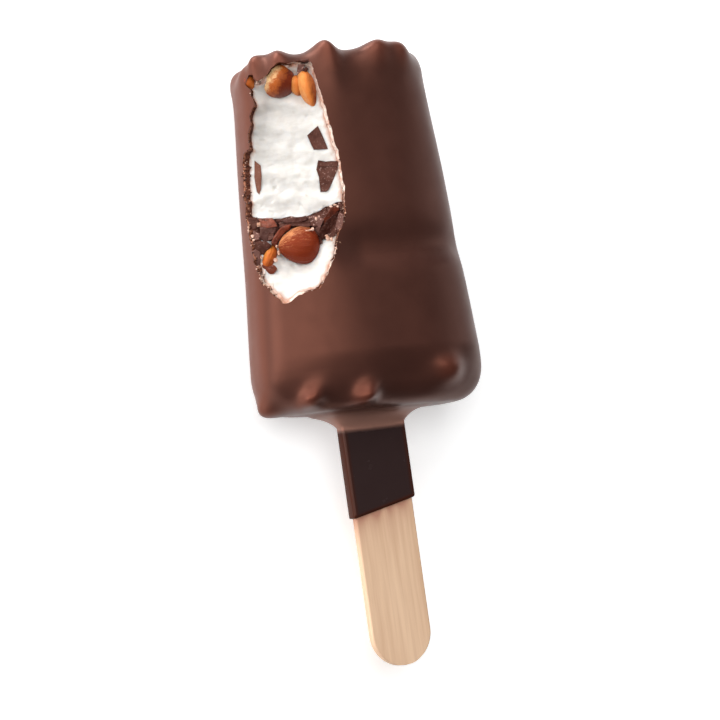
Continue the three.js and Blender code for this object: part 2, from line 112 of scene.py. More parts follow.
# angle round the bar, height, rise, half size around and along; how much of the hang a lower lump
# keeps at the front and at the sides, and how blunt it is
lumps = {
    "top": [
        (8, 84.4, 1.4, 2.2, 3.0), (53, 84.9, 2.0, 2.4, 2.9), (73, 85.3, 2.5, 2.8, 2.9),
        (101.5, 85.5, 3.0, 2.1, 3.5), (139, 85.1, 2.1, 1.8, 3.2), (160, 84.8, 2.3, 1.4, 2.4),
        (176, 84.2, 1.1, 1.9, 2.4), (206, 84.2, 1.5, 2.0, 2.8), (241, 84.8, 2.2, 2.1, 3.4),
        (272, 85.2, 2.6, 2.3, 3.8), (305, 84.8, 2.2, 2.1, 3.4), (334, 84.9, 2.0, 1.9, 3.0),
    ],
    "bottom": [
        (65.5, 10.9, 2.1, 3.1, 2.4), (103, 6.3, 2.8, 2.3, 2.0), (136, 6.7, 2.7, 2.1, 1.9),
        (182, 6.4, 2.9, 2.7, 2.3), (218, 8.0, 2.0, 2.8, 2.6), (262, 7.4, 2.3, 3.0, 2.8),
        (301, 9.2, 2.1, 2.7, 2.5), (342, 8.6, 1.2, 2.8, 2.8),
    ],
    "droop": 0.2, "sideDroop": 0.5, "bluff": 1.15,
}
# the coating swells round the stick where it leaves the bar
collar = {
    "height": 4.4, "reach": 8, "power": 1.6, "squareWidth": 4.44, "squareDepth": 3.33, "blend": 2.2,
}
# the chocolate on the neck of the stick: the heights where it ends, left and right
sleeve = {
    "left": -20.2, "right": -16.9, "proud": 0.62, "round": 0.55,
    # heights and distances from the middle where the neck gets rows and columns of vertices
    "rows": (0.3, -0.3, -0.9, -2.5, -5, -8, -11, -14, -15.6),
    "columns": (-7.6, -6.8, -3.5, 0, 3.5, 6.8, 7.6),
    "dipRows": (2.2, 1.1, 0.6, 0.2),
}


def sideSize(y, g):
    share = min(max((y - bar["taperStart"]) / (bar["top"] - bar["taperStart"]), 0), 1)
    width = mix(bar["baseWidth"], bar["topWidth"], share) - g
    depth = mix(bar["baseDepth"], bar["topDepth"], share) - g
    return width, depth


# how far the front is drawn in at the groove and above the lower lumps
def frontHollow(x, y, z):
    spread = bar["waistAbove"] if y > bar["waist"] else bar["waistBelow"]
    groove = bar["waistDepth"] * math.exp(-(((y - bar["waist"]) / spread) ** 2))
    chin = bar["chin"] * smooth(y, *bar["chinAlong"])
    chin *= mix(bar["chinLeft"], 1, smooth(x, *bar["chinAcross"]))
    return (groove * smooth(x, *bar["waistFrom"]) + chin) * smooth(z, 3, 10)


# heights from the bottom to the top: height, how far the corner has come in, share of the end face
def barLevels(g, steps):
    bottomFace, corner, end, middle, topFace = steps
    low, high = bar["bottom"] + g, bar["top"] - g
    lowCorner, highCorner = bar["bottomCorner"] - g, bar["topCorner"] - g
    levels = []
    for i in range(bottomFace):
        share = i / bottomFace
        levels.append((low - bar["dome"] * (1 - share * share), lowCorner, share))
    for i in range(corner):
        turn = math.pi / 2 * i / corner
        levels.append((low + lowCorner * (1 - math.cos(turn)), lowCorner * (1 - math.sin(turn)), 1))
    start, finish, reach = low + lowCorner, high - highCorner, bar["lumpReach"]
    stretches = [
        (start, reach, end),
        (start + reach, finish - start - 2 * reach, middle),
        (finish - reach, reach, end),
    ]
    for begin, length, count in stretches:
        levels += [(begin + length * i / count, 0, 1) for i in range(count)]
    for i in range(corner):
        turn = math.pi / 2 * i / corner
        levels.append((finish + highCorner * math.sin(turn), highCorner * (1 - math.cos(turn)), 1))
    for i in range(topFace + 1):
        share = 1 - i / topFace
        levels.append((high + bar["dome"] * (1 - share * share), highCorner, share))
    return levels


def barPoint(level, angle, g):
    height, inset, share = level
    width, depth = sideSize(height, g)
    x = (width - inset) * share * signedPower(math.cos(angle), 2 / bar["power"])
    z = (depth - inset * bar["cornerDepth"]) * share * signedPower(math.sin(angle), 2 / bar["power"])
    z -= frontHollow(x, height, z)
    low = bar["bottomSlant"] * (1 - smooth(height, bar["bottom"], bar["slantEnd"]))
    high = bar["topSlant"] * smooth(height, bar["slantStart"], bar["top"] - 2)
    return Vector((x, height + (high - low) * x / bar["baseWidth"], max(z, g - bar["back"])))


# for each lump: its middle, the ways around, along and out of the bar there, and its measures
def lumpFrames():
    levels = [level for level in barLevels(0, (1, 24, 12, 12, 1)) if level[2] == 1]
    frames = []
    for angle, height, rise, around, along in lumps["top"] + lumps["bottom"]:
        angle = math.radians(angle)
        i = min(range(1, len(levels) - 1), key=lambda k: abs(levels[k][0] - height))
        middle = barPoint(levels[i], angle, 0)
        alongWay = (barPoint(levels[i + 1], angle, 0) - barPoint(levels[i - 1], angle, 0)).normalized()
        before, after = (barPoint(levels[i], angle + side * 0.03, 0) for side in (-1, 1))
        aroundWay = (after - before).normalized()
        out = alongWay.cross(aroundWay).normalized()
        if out.dot(Vector((middle.x, 0, middle.z))) < 0:
            out = -out
        if out.y < 0:
            droop = lumps["droop"] if middle.z > 6 else lumps["sideDroop"]
            out = Vector((out.x, out.y * droop, out.z)).normalized()
        bluff = lumps["bluff"] if height < bar["top"] / 2 else 1
        frames.append((middle, aroundWay, alongWay, out, rise, around, along, bluff))
    return frames


# how far a point of the underside is from the sleeve's outline, up to the collar's reach
def collarDistance(x, z):
    half = stick["width"] / 2 + sleeve["proud"]
    thin = stick["thickness"] / 2 + sleeve["proud"]
    low, high = 0.0, collar["reach"]
    for _ in range(12):
        middle = (low + high) / 2
        across = (abs(x - stick["offset"]) / (half + middle)) ** collar["squareWidth"]
        through = (abs(z) / (thin + 0.75 * middle)) ** collar["squareDepth"]
        if across + through > 1:
            low = middle
        else:
            high = middle
    return low


def collarHeight(distance):
    share = 1 - min(distance / collar["reach"], 1)
    return collar["height"] * (1 - share ** collar["power"]) ** (1 / collar["power"])


# the bar's surface g inside the chocolate's outer one, on a sphere's grid of rows and columns
def barBody(g, sides, steps, outside=False):
    levels = barLevels(g, steps)
    rows = len(levels) - 1
    frames = lumpFrames() if outside else []
    bm = bmesh.new()
    bmesh.ops.create_uvsphere(bm, u_segments=sides, v_segments=rows, radius=1)
    for vert in bm.verts:
        row = rows - round(rows * math.acos(min(max(vert.co.z, -1), 1)) / math.pi)
        angle = math.atan2(vert.co.y, vert.co.x)
        point = barPoint(levels[row], angle, g)
        moved = point.copy()
        for middle, aroundWay, alongWay, out, rise, around, along, bluff in frames:
            away = point - middle
            if away.length_squared > 200:  # too far off to swell here
                continue
            spread = (away.dot(aroundWay) / around) ** 2 + (away.dot(alongWay) / along) ** 2
            spread += (away.dot(out) / (2 * along)) ** 2
            swell = math.exp(-((spread / 2) ** bluff))
            moved += out * (rise * swell)
        if outside:
            if levels[row][2] < 1 and point.y < bar["top"] / 2:
                fall = collarHeight(collarDistance(point.x, point.z))
                k = collar["blend"]
                near = collar["height"] - fall
                # a soft lower one of the bottom face and the collar
                blended = -math.log(math.exp(-k * (moved.y - 3)) + math.exp(-k * (fall - 3))) / k + 3
                moved.y = mix(moved.y, blended, smooth(near, 0.0, 0.6))
            spot = Vector([a / b for a, b in zip(point, bar["unevenSize"])])
            uneven = noise.noise(spot) * bar["unevenness"]
            side = Vector((point.x, 0, point.z)).normalized() if levels[row][2] == 1 else Vector()
            moved += side * uneven
        moved.z = max(moved.z, g - bar["back"])
        vert.co = moved
    faceOutward(bm)
    return bm


# the bite, drawn on a plane that faces out of the front left edge: u across, v up the bar, w out of it
bite = {
    "turn": math.radians(28), "centre": (-11.2, 58),
    # u, v, how widely the broken edge of the chocolate shows, how much cream is smeared over it
    "outline": [
        (-15.4, 80.3, 0.3, 0.5), (-14.2, 80.9, 0.2, 0.7), (-12.9, 82.0, 0.12, 0.4),
        (-11.2, 83.2, 0.1, 0.3), (-7.1, 83.7, 0.15, 0.6), (-3.5, 83.3, 0.4, 0.7),
        (-2.9, 80.6, 0.6, 0.8), (-2.0, 76.6, 0.9, 0.8), (-0.8, 69.0, 1.0, 0.75),
        (0.2, 60.7, 1.05, 0.7), (0.5, 54.0, 0.95, 0.6), (-0.4, 48.0, 0.9, 0.2),
        (-1.6, 44.8, 0.6, 0.2), (-3.9, 39.0, 0.4, 0.5), (-6.4, 34.0, 0.3, 0.6),
        (-8.1, 31.6, 0.6, 0.3), (-12.0, 31.0, 0.6, 0.55), (-16.4, 29.5, 0.5, 0.7),
        (-19.6, 33.0, 0.7, 0.6), (-21.4, 37.4, 0.8, 0.45), (-22.1, 43.4, 0.9, 0.2),
        (-22.6, 49.6, 1.0, 0.12), (-22.4, 57.0, 1.15, 0.1), (-21.7, 62.8, 1.15, 0.1),
        (-21.0, 64.9, 1.0, 0.1), (-19.9, 65.6, 0.5, 0.15), (-19.2, 69.0, 0.4, 0.1),
        (-18.2, 73.6, 0.35, 0.15), (-17.3, 75.5, 0.35, 0.1), (-17.8, 77.3, 0.2, 0.1),
        (-17.7, 79.0, 0.3, 0.2), (-18.3, 80.8, 0.5, 0.3), (-17.7, 82.1, 0.5, 0.2),
        (-16.5, 82.2, 0.4, 0.3), (-16.1, 81.0, 0.4, 0.6),
    ],
    # the floor's height and tilt, its hollow, and how wide it climbs to the rim, more at the lower end
    "floor": 12.05, "tilt": 0.085, "hollow": 0.6, "hollowReach": 7,
    "ramp": 3.2, "longRamp": 7, "lowerEnd": 47, "toothRidge": 0.2, "toothPitch": 5.5,
    # "even" is over how many columns to each side the rim is evened out for the rings inside it
    "tension": 0.3, "sides": 600, "rings": 70, "wallRows": 12, "farOut": 40, "even": 14,
    "jag": 0.34, "calmJag": 0.2, "crumble": 0.36,
    # u, v and reach of the calm spots, where chocolate lies flush in the ice cream
    "calm": [
        (-4.2, 65.9, 2.6), (-2.8, 58.6, 2.8), (-3.8, 54.8, 2.0), (-18.6, 59.6, 2.6), (-18.9, 57.0, 2.0),
    ],
}
acrossWay = Vector((math.cos(bite["turn"]), 0, math.sin(bite["turn"])))
outWay = Vector((-math.sin(bite["turn"]), 0, math.cos(bite["turn"])))


def fromBite(u, v, w):
    return acrossWay * u + Vector((0, v, 0)) + outWay * w


# w of the coating's plain surface over a point of the bite's plane
def surfaceOver(u, v):
    y = min(max(v, bar["bottom"] + 1.5), bar["top"] - 0.6)
    inset = 0
    corner = bar["topCorner"]
    if y > bar["top"] - corner:
        rise = (y - (bar["top"] - corner)) / corner
        inset = corner * (1 - math.sqrt(1 - rise * rise))
    width, depth = sideSize(y, 0)
    width -= inset
    depth -= inset * bar["cornerDepth"]
    low, high = 4.0, 24.0
    for _ in range(20):
        middle = (low + high) / 2
        point = fromBite(u, y, middle)
        point.z += frontHollow(point.x, y, point.z)
        if abs(point.x / width) ** bar["power"] + abs(point.z / depth) ** bar["power"] < 1:
            low = middle
        else:
            high = middle
    return low


# which way the coating faces there, in u, v and w
def facingOver(u, v):
    step = 0.4
    slopeU = (surfaceOver(u + step, v) - surfaceOver(u - step, v)) / (2 * step)
    slopeV = (surfaceOver(u, v + step) - surfaceOver(u, v - step)) / (2 * step)
    return Vector((-slopeU, -slopeV, 1)).normalized()


# even steps along a smooth closed line through the given points, with their further values
def closedLine(points, count, tension):
    fine = []
    total = len(points)
    for i in range(total):
        before, start, end, after = (Vector(points[(i + k - 1) % total]) for k in range(4))
        pull, push = (end - before) * tension, (after - start) * tension
        for k in range(24):
            t = k / 24
            fine.append(
                start * (2 * t**3 - 3 * t**2 + 1) + pull * (t**3 - 2 * t**2 + t)
                + end * (3 * t**2 - 2 * t**3) + push * (t**3 - t**2)
            )
    lengths = [0.0]
    for i in range(len(fine)):
        lengths.append(lengths[-1] + (fine[(i + 1) % len(fine)] - fine[i]).xy.length)
    line, k = [], 0
    for i in range(count):
        goal = lengths[-1] * i / count
        while lengths[k + 1] < goal:
            k += 1
        share = (goal - lengths[k]) / (lengths[k + 1] - lengths[k])
        line.append(fine[k].lerp(fine[(k + 1) % len(fine)], share))
    return line


def wobble(point, size, seed):
    spot = point / size + Vector((seed, seed * 1.7, seed * 2.3))
    return Vector((noise.noise(spot), noise.noise(spot + Vector((31.4, 0, 0))), 0))


# the bite's edge, column by column: the chocolate's outer and inner rim, how steep the chocolate lies
# there and how much cream is on its broken edge
def biteEdges():
    edges = []
    for spot in closedLine(bite["outline"], bite["sides"], bite["tension"]):
        flat = Vector((spot.x, spot.y, 0))
        facing = facingOver(spot.x, spot.y)
        steep = smooth(facing.z, 0.97, 0.72)  # 1 where the coating turns away, at the left
        low = smooth(spot.y, 44, 32) * (1 - smooth(spot.x, -14, -6))
        jag = mix(bite["calmJag"], bite["jag"], max(steep, low))
        ragged = flat + wobble(flat, 2.6, 1) * 2 * jag + wobble(flat, 0.8, 2) * jag
        u, v = ragged.x, ragged.y
        rim = Vector((u, v, surfaceOver(u, v)))
        show = min(max(spot.z, 0.05), 1.2)
        slant = facing.x * facing.x + facing.y * facing.y
        drop = bar["thickness"] * (1 - show * slant) / facing.z
        inner = rim - Vector((facing.x, facing.y, 0)) * bar["thickness"] * show - Vector((0, 0, drop))
        edges.append((rim, inner, steep, min(max(spot.w, 0), 1)))
    return edges


# w of the bite's floor at the given u and v, without relief: a shallow hollow that climbs to the inner
# rim; the rim's height and distance are soft means over the whole rim, so that the floor has no folds
def floorHeights(u, v, edges):
    rim = np.array([tuple(edge[1]) for edge in edges[::2]])
    spacing = np.hypot(*(rim - np.roll(rim, 1, axis=0)).T[:2]).mean()
    gaps = (u[:, None] - rim[:, 0]) ** 2 + (v[:, None] - rim[:, 1]) ** 2
    weights = 1 / (gaps + 0.02) ** 2
    total = weights.sum(axis=1)
    end = (weights * rim[:, 2]).sum(axis=1) / total
    apart = (math.pi / (2 * spacing * total)) ** (1 / 3)
    low = np.clip((bite["lowerEnd"] - v) / 9, 0, 1)
    ramp = bite["ramp"] + (bite["longRamp"] - bite["ramp"]) * low * low * (3 - 2 * low)
    climb = np.clip(1 - apart / ramp, 0, 1)
    inward = np.clip(apart / bite["hollowReach"], 0, 1)
    floor = bite["floor"] + bite["tilt"] * (u - bite["centre"][0])
    floor -= bite["hollow"] * inward * inward * (3 - 2 * inward)
    floor += bite["toothRidge"] * np.sin(2 * math.pi * v / bite["toothPitch"] + 0.25 * u)
    return floor + (end - floor) * climb * climb * (3 - 2 * climb)


def floorOver(u, v, edges):
    return float(floorHeights(np.array([u]), np.array([v]), edges)[0])


# relief of the torn ice cream: soft lumps, flat streaks across the bite and small pits, all of it
# calm around the pieces of chocolate, which lie flush
def tornCream(u, v):
    low = smooth(v, 46, 38)
    calm = 1.0
    for calmU, calmV, reach in bite["calm"]:
        calm = min(calm, smooth(math.hypot(u - calmU, v - calmV), reach, reach + 1.6))
    soft = noise.noise(Vector((u / 4.2, v / 2.6, 3.1))) * mix(0.34, 0.6, low)
    soft += noise.noise(Vector((u / 1.9, v / 1.6, 6.6))) * 0.16
    bend = noise.noise(Vector((u / 5, v / 5, 9))) * 0.8
    streak = noise.noise(Vector((u / 3.4, (v + bend) / 1.1, 7.7))) * mix(0.10, 0.14, low)
    crumb = noise.noise(Vector((u / 0.9, v / 0.8, 5.5))) * mix(0.05, 0.09, low)
    pit = max(0.0, noise.noise(Vector((u / 1.7, v / 1.3, 12.5))) - 0.45) * 0.7
    return (soft + streak - pit) * mix(0.12, 1, calm) + crumb


# relief of broken dark chocolate: flat facets with steps between them
def brokenDark(u, v):
    distances, cells = noise.voronoi(Vector((u / 3.0, v / 2.1, 0.3)))
    facet = noise.noise(cells[0] * 3.7) * 1.1
    away = Vector((u / 3.0, v / 2.1, 0.3)) - cells[0]
    tip = noise.noise(cells[0] * 7.1) * away.x + noise.noise(cells[0] * 5.3) * away.y
    return facet - 0.25 + tip * 1.6 + noise.noise(Vector((u / 0.7, v / 0.7, 1.9))) * 0.08


# what the bite took away, with the floor lifted for the harder pieces that stand proud of it
def biteCutter(edges, lift, relief):
    sides, rings, wallRows = bite["sides"], bite["rings"], bite["wallRows"]
    rows = rings + wallRows + 3
    centre = Vector((*bite["centre"], 0))
    ends = np.array([tuple(edge[1]) for edge in edges])
    around = np.concatenate([ends[-bite["even"]:], ends, ends[:bite["even"]]])
    spread = np.ones(2 * bite["even"] + 1) / (2 * bite["even"] + 1)
    evened = np.stack([np.convolve(around[:, k], spread, "valid") for k in range(2)], axis=1)
    places, floors = [], []
    for row in range(rings):
        share = (row / rings) ** 0.72
        outer = evened + (ends[:, :2] - evened) * smooth(share, 0.86, 1)
        places.append(np.array(bite["centre"]) * (1 - share) + outer * share)
        floors.append(floorHeights(places[-1][:, 0], places[-1][:, 1], edges))
    bm = bmesh.new()
    bmesh.ops.create_uvsphere(bm, u_segments=sides, v_segments=rows, radius=1)
    for vert in bm.verts:
        row = rows - round(rows * math.acos(min(max(vert.co.z, -1), 1)) / math.pi)
        column = round(sides * math.atan2(vert.co.y, vert.co.x) / (2 * math.pi)) % sides
        rim, inner, steep, smear = edges[column]
        if row < rings:
            share = (row / rings) ** 0.72
            u, v = (float(value) for value in places[row][column])
            near = smooth(share, 0.9, 1)
            w = mix(float(floors[row][column]) + lift, inner.z, smooth(share, 0.93, 1))
            w += relief(u, v) * (1 - 0.85 * near)
        elif row <= rings + wallRows:
            share = (row - rings) / wallRows
            spot = inner.lerp(rim, share)
            rough = bite["crumble"] * math.sin(math.pi * min(share + 0.05, 1)) * mix(0.4, 1, steep)
            push = wobble(Vector((spot.x, spot.y, spot.z * 1.6)), 0.62, 4) * rough * 1.6
            push += wobble(Vector((spot.x, spot.y, spot.z)), 1.7, 6) * rough
            u, v, w = spot.x + push.x, spot.y + push.y, spot.z
        elif row == rings + wallRows + 1:
            u, v, w = rim.x, rim.y, rim.z + 4
        elif row == rings + wallRows + 2:
            u, v, w = rim.x, rim.y, bite["farOut"]
        else:
            u, v, w = centre.x, centre.y, bite["farOut"]
        vert.co = fromBite(u, v, w)
    faceOutward(bm)
    return bm


def makeObject(name, bm):
    mesh = bpy.data.meshes.new(name)
    bm.to_mesh(mesh)
    bm.free()
    piece = bpy.data.objects.new(name, mesh)
    bpy.context.scene.collection.objects.link(piece)
    return piece


def cut(piece, *tools, how="DIFFERENCE"):
    for tool in tools:
        change = piece.modifiers.new("cut", "BOOLEAN")
        change.operation = how
        change.solver = "MANIFOLD"
        change.object = tool
    depsgraph = bpy.context.evaluated_depsgraph_get()
    mesh = bpy.data.meshes.new_from_object(piece.evaluated_get(depsgraph))
    piece.modifiers.clear()
    piece.data = mesh
    return piece


def discard(*pieces):
    for piece in pieces:
        bpy.data.objects.remove(piece)


def setLayer(piece, name, values):
    layer = piece.data.attributes.get(name) or piece.data.attributes.new(name, "FLOAT", "POINT")
    layer.data.foreach_set("value", values)


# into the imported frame, smooth but for edges sharper than the given angle, riding on the bar
def finishPiece(piece, material, nodes=(), sharp=55):
    piece.data.transform(toFrame)
    piece.data.materials.clear()
    piece.data.materials.append(material)
    piece.data.shade_smooth()
    piece.data.set_sharp_from_angle(angle=math.radians(sharp))
    if nodes:
        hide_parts(*nodes)
    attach(piece, "root")
    print(piece.name, len(piece.data.polygons), "faces")
    return piece


def startMaterial(name):
    material = bpy.data.materials.new(name)
    material.use_nodes = True
    tree = material.node_tree
    return material, tree, tree.nodes["Principled BSDF"]


def put(tree, socket, value):
    if isinstance(value, bpy.types.NodeSocket):
        tree.links.new(value, socket)
    else:
        socket.default_value = value


def colour(*rgb):
    return (*rgb, 1)


def objectPoint(tree, stretch=(1, 1, 1)):
    place = tree.nodes.new("ShaderNodeTexCoord")
    mapping = tree.nodes.new("ShaderNodeMapping")
    mapping.inputs["Scale"].default_value = stretch
    tree.links.new(place.outputs["Object"], mapping.inputs["Vector"])
    return mapping.outputs["Vector"]


def noisePattern(tree, point, size, detail=3.0, rough=0.5, distort=0.0):
    node = tree.nodes.new("ShaderNodeTexNoise")
    tree.links.new(point, node.inputs["Vector"])
    node.inputs["Scale"].default_value = 1 / size
    node.inputs["Detail"].default_value = detail
    node.inputs["Roughness"].default_value = rough
    node.inputs["Distortion"].default_value = distort
    return node.outputs["Fac"]


def layerValue(tree, name):
    node = tree.nodes.new("ShaderNodeAttribute")
    node.attribute_name = name
    return node.outputs["Fac"]


def rangeOf(tree, value, low, high, start=0.0, end=1.0):
    node = tree.nodes.new("ShaderNodeMapRange")
    put(tree, node.inputs["Value"], value)
    node.inputs["From Min"].default_value = low
    node.inputs["From Max"].default_value = high
    node.inputs["To Min"].default_value = start
    node.inputs["To Max"].default_value = end
    return node.outputs["Result"]


def mixColours(tree, share, first, second, blend="MIX"):
    node = tree.nodes.new("ShaderNodeMix")
    node.data_type = "RGBA"
    node.blend_type = blend
    put(tree, node.inputs["Factor"], share)
    put(tree, node.inputs[6], first)
    put(tree, node.inputs[7], second)
    return node.outputs[2]


def calculate(tree, how, first, second=0.0):
    node = tree.nodes.new("ShaderNodeMath")
    node.operation = how
    put(tree, node.inputs[0], first)
    put(tree, node.inputs[1], second)
    return node.outputs["Value"]


def addBump(tree, shader, height, depth, strength=1.0):
    bump = tree.nodes.new("ShaderNodeBump")
    bump.inputs["Strength"].default_value = strength
    bump.inputs["Distance"].default_value = depth
    tree.links.new(height, bump.inputs["Height"])
    tree.links.new(bump.outputs["Normal"], shader.inputs["Normal"])


# "scale" is pixels to the millimetre, "neck" the pixel where the stick comes out of the chocolate
view = {
    "azimuth": math.radians(28), "elevation": math.radians(-4), "roll": math.radians(8.05),
    "lens": 110, "sensor": 36, "scale": 4.35, "width": 720, "neck": (371, 428), "neckAcross": -1.25,
}
# each lamp's way from the bar, distance and size in metres, and power
light = {
    "lamps": {
        "left": {"way": (-0.974, 0.208, 0.085), "far": 0.7, "size": (0.55, 0.55), "power": 4.3},
        "leftFront": {"way": (-0.600, 0.190, 0.777), "far": 0.7, "size": (0.5, 0.5), "power": 2.2},
        "front": {"way": (-0.05, 0.156, 0.987), "far": 0.7, "size": (0.42, 0.38), "power": 1.42},
        "above": {"way": (-0.08, 0.76, 0.645), "far": 0.7, "size": (0.6, 0.4), "power": 1.9},
        "top": {"way": (-0.36, 0.93, 0.06), "far": 0.7, "size": (0.5, 0.3), "power": 5.0},
        "right": {"way": (0.94, 0.156, 0.30), "far": 0.7, "size": (0.3, 0.36), "power": 0.34},
    },
    "sky": 0.03, "floorGlow": 0.47,
}


def addCamera():
    a, e = view["azimuth"], view["elevation"]
    back = Vector((-math.sin(a) * math.cos(e), math.sin(e), math.cos(a) * math.cos(e)))
    level = Vector((0, 1, 0)).cross(back).normalized()
    upright = back.cross(level)
    right = level * math.cos(view["roll"]) - upright * math.sin(view["roll"])
    up = level * math.sin(view["roll"]) + upright * math.cos(view["roll"])
    pixels = view["lens"] / view["sensor"] * view["width"]  # focal length in pixels
    far = pixels / view["scale"] * metres
    target = neck + Vector((math.cos(a), 0, math.sin(a))) * view["neckAcross"] * metres
    camera = bpy.data.objects.new("camera", bpy.data.cameras.new("camera"))
    camera.data.lens = view["lens"]
    camera.data.sensor_width = view["sensor"]
    camera.data.clip_start = 0.01
    placed = Matrix((right, up, back)).transposed().to_4x4()
    shiftRight = (view["neck"][0] - view["width"] / 2) * far / pixels
    shiftDown = (view["neck"][1] - view["width"] / 2) * far / pixels
    placed.translation = target + back * far - right * shiftRight + up * shiftDown
    camera.matrix_world = placed
    bpy.context.scene.collection.objects.link(camera)
    bpy.context.scene.camera = camera


def addLights():
    middle = (cadBox[0] + cadBox[1]) / 2
    for name, lamp in light["lamps"].items():
        data = bpy.data.lights.new(name, "AREA")
        data.shape = "RECTANGLE"
        data.size, data.size_y = lamp["size"]
        data.energy = lamp["power"]
        way = Vector(lamp["way"]).normalized()
        softbox = bpy.data.objects.new(name, data)
        softbox.rotation_mode = "QUATERNION"
        softbox.rotation_quaternion = way.to_track_quat("Z", "Y")
        softbox.location = middle + way * lamp["far"]
        bpy.context.scene.collection.objects.link(softbox)
    world = bpy.data.worlds.new("sky")
    world.use_nodes = True
    background = world.node_tree.nodes["Background"]
    background.inputs["Color"].default_value = colour(1, 1, 1)
    background.inputs["Strength"].default_value = light["sky"]
    bpy.context.scene.world = world
    bpy.context.scene.view_settings.view_transform = "Standard"


def addFloor():
    bm = bmesh.new()
    bmesh.ops.create_grid(bm, x_segments=2, y_segments=2, size=3)
    floor = makeObject("floor", bm)
    material, tree, shader = startMaterial("palePaper")
    grain = noisePattern(tree, objectPoint(tree), 0.0012)
    paper = mixColours(tree, grain, colour(0.86, 0.86, 0.86), colour(0.9, 0.9, 0.9))
    put(tree, shader.inputs["Base Color"], paper)
    shader.inputs["Roughness"].default_value = 0.9
    shader.inputs["Emission Color"].default_value = colour(1, 1, 1)
    shader.inputs["Emission Strength"].default_value = light["floorGlow"]
    floor.data.materials.append(material)


addCamera()
addLights()
addFloor()
print("camera, lights and floor ready")


chocolate = {
    # the skin: its two tones, the left side lighter as painted light, the lumps' painted highlight, the
    # collar's pale band of painted reflection, the darker neck and its rims
    "deep": colour(0.0455, 0.0175, 0.0135), "light": colour(0.057, 0.0218, 0.0165),
    "side": colour(0.12, 0.037, 0.022), "thin": colour(0.13, 0.036, 0.022),
    "band": colour(0.33, 0.17, 0.13), "neck": colour(0.033, 0.0185, 0.018),
    "edge": colour(0.055, 0.012, 0.005),
    # the broken edge: the crack's two tones, the glow at its rim, and the cream smeared over it
    "crack": colour(0.050, 0.015, 0.009), "crackLight": colour(0.20, 0.075, 0.040),
    "glow": colour(0.40, 0.17, 0.10), "cream": colour(0.82, 0.70, 0.61),
    "pink": colour(0.52, 0.28, 0.20), "olive": colour(0.30, 0.19, 0.10),
    # the shine
    "rough": 0.38, "specular": 0.72, "sideSpecular": 0.22, "neckShine": 0.25,
    "tint": colour(1.0, 0.38, 0.25), "neckTint": colour(1.0, 0.85, 0.80),
}


def milkChocolate():
    material, tree, shader = startMaterial("milkChocolate")
    point = objectPoint(tree)
    cloud = rangeOf(tree, noisePattern(tree, point, 0.022, 2), 0.3, 0.7)
    skin = mixColours(tree, cloud, chocolate["deep"], chocolate["light"])
    # painted highlight: the skin lighter and redder over the lumps
    thin = rangeOf(tree, layerValue(tree, "lump"), 0.25, 1.0, 0.0, 0.6)
    skin = mixColours(tree, thin, skin, chocolate["thin"])
    neckShare = layerValue(tree, "neck")
    # the layer "side" carries painted light: the skin's left side lighter and redder, and shining less
    side = layerValue(tree, "side")
    skin = mixColours(tree, side, skin, chocolate["side"])
    # painted reflection: a pale band on the collar's fillet
    skin = mixColours(tree, layerValue(tree, "band"), skin, chocolate["band"])
    skin = mixColours(tree, neckShare, skin, chocolate["neck"])
    skin = mixColours(tree, layerValue(tree, "edge"), skin, chocolate["edge"])
    grit = noisePattern(tree, point, 0.0008, 3, 0.65)
    coarse = rangeOf(tree, grit, 0.53, 0.68)
    crack = mixColours(tree, coarse, chocolate["crack"], chocolate["crackLight"])
    glow = calculate(tree, "MULTIPLY", layerValue(tree, "glow"), rangeOf(tree, grit, 0.38, 0.56))
    crack = mixColours(tree, glow, crack, chocolate["glow"])
    blots = noisePattern(tree, point, 0.0011, 4, 0.65)
    smear = rangeOf(tree, calculate(tree, "ADD", layerValue(tree, "smear"), blots), 0.92, 1.08)
    creamTone = rangeOf(tree, noisePattern(tree, point, 0.0021, 3, 0.6), 0.42, 0.62)
    cream = mixColours(tree, creamTone, chocolate["cream"], chocolate["pink"])
    cream = mixColours(tree, layerValue(tree, "olive"), cream, chocolate["olive"])
    crack = mixColours(tree, smear, crack, cream)
    broken = layerValue(tree, "broken")
    put(tree, shader.inputs["Base Color"], mixColours(tree, broken, skin, crack))
    low, high = chocolate["rough"] - 0.04, chocolate["rough"] + 0.05
    rough = rangeOf(tree, noisePattern(tree, point, 0.004, 4), 0.3, 0.7, low, high)
    rough = calculate(tree, "ADD", rough, calculate(tree, "MULTIPLY", broken, 0.2))
    rough = calculate(tree, "SUBTRACT", rough, calculate(tree, "MULTIPLY", neckShare, 0.15))
    put(tree, shader.inputs["Roughness"], rough)
    shine = rangeOf(tree, side, 0, 1, chocolate["specular"], chocolate["sideSpecular"])
    dull = rangeOf(tree, neckShare, 0, 1, 1, chocolate["neckShine"])
    put(tree, shader.inputs["Specular IOR Level"], calculate(tree, "MULTIPLY", shine, dull))
    tint = mixColours(tree, neckShare, chocolate["tint"], chocolate["neckTint"])
    put(tree, shader.inputs["Specular Tint"], tint)
    fine = noisePattern(tree, point, 0.0005, 4, 0.6)
    addBump(tree, shader, calculate(tree, "MULTIPLY", fine, broken), 0.0002)
    return material


iceCream = {
    "deep": colour(0.62, 0.592, 0.555), "light": colour(0.685, 0.662, 0.63),
    "stain": colour(0.50, 0.27, 0.19), "rough": 0.62,
    "throughShare": 0.7, "throughRadius": (1.0, 0.85, 0.7), "throughReach": 0.0018,
}


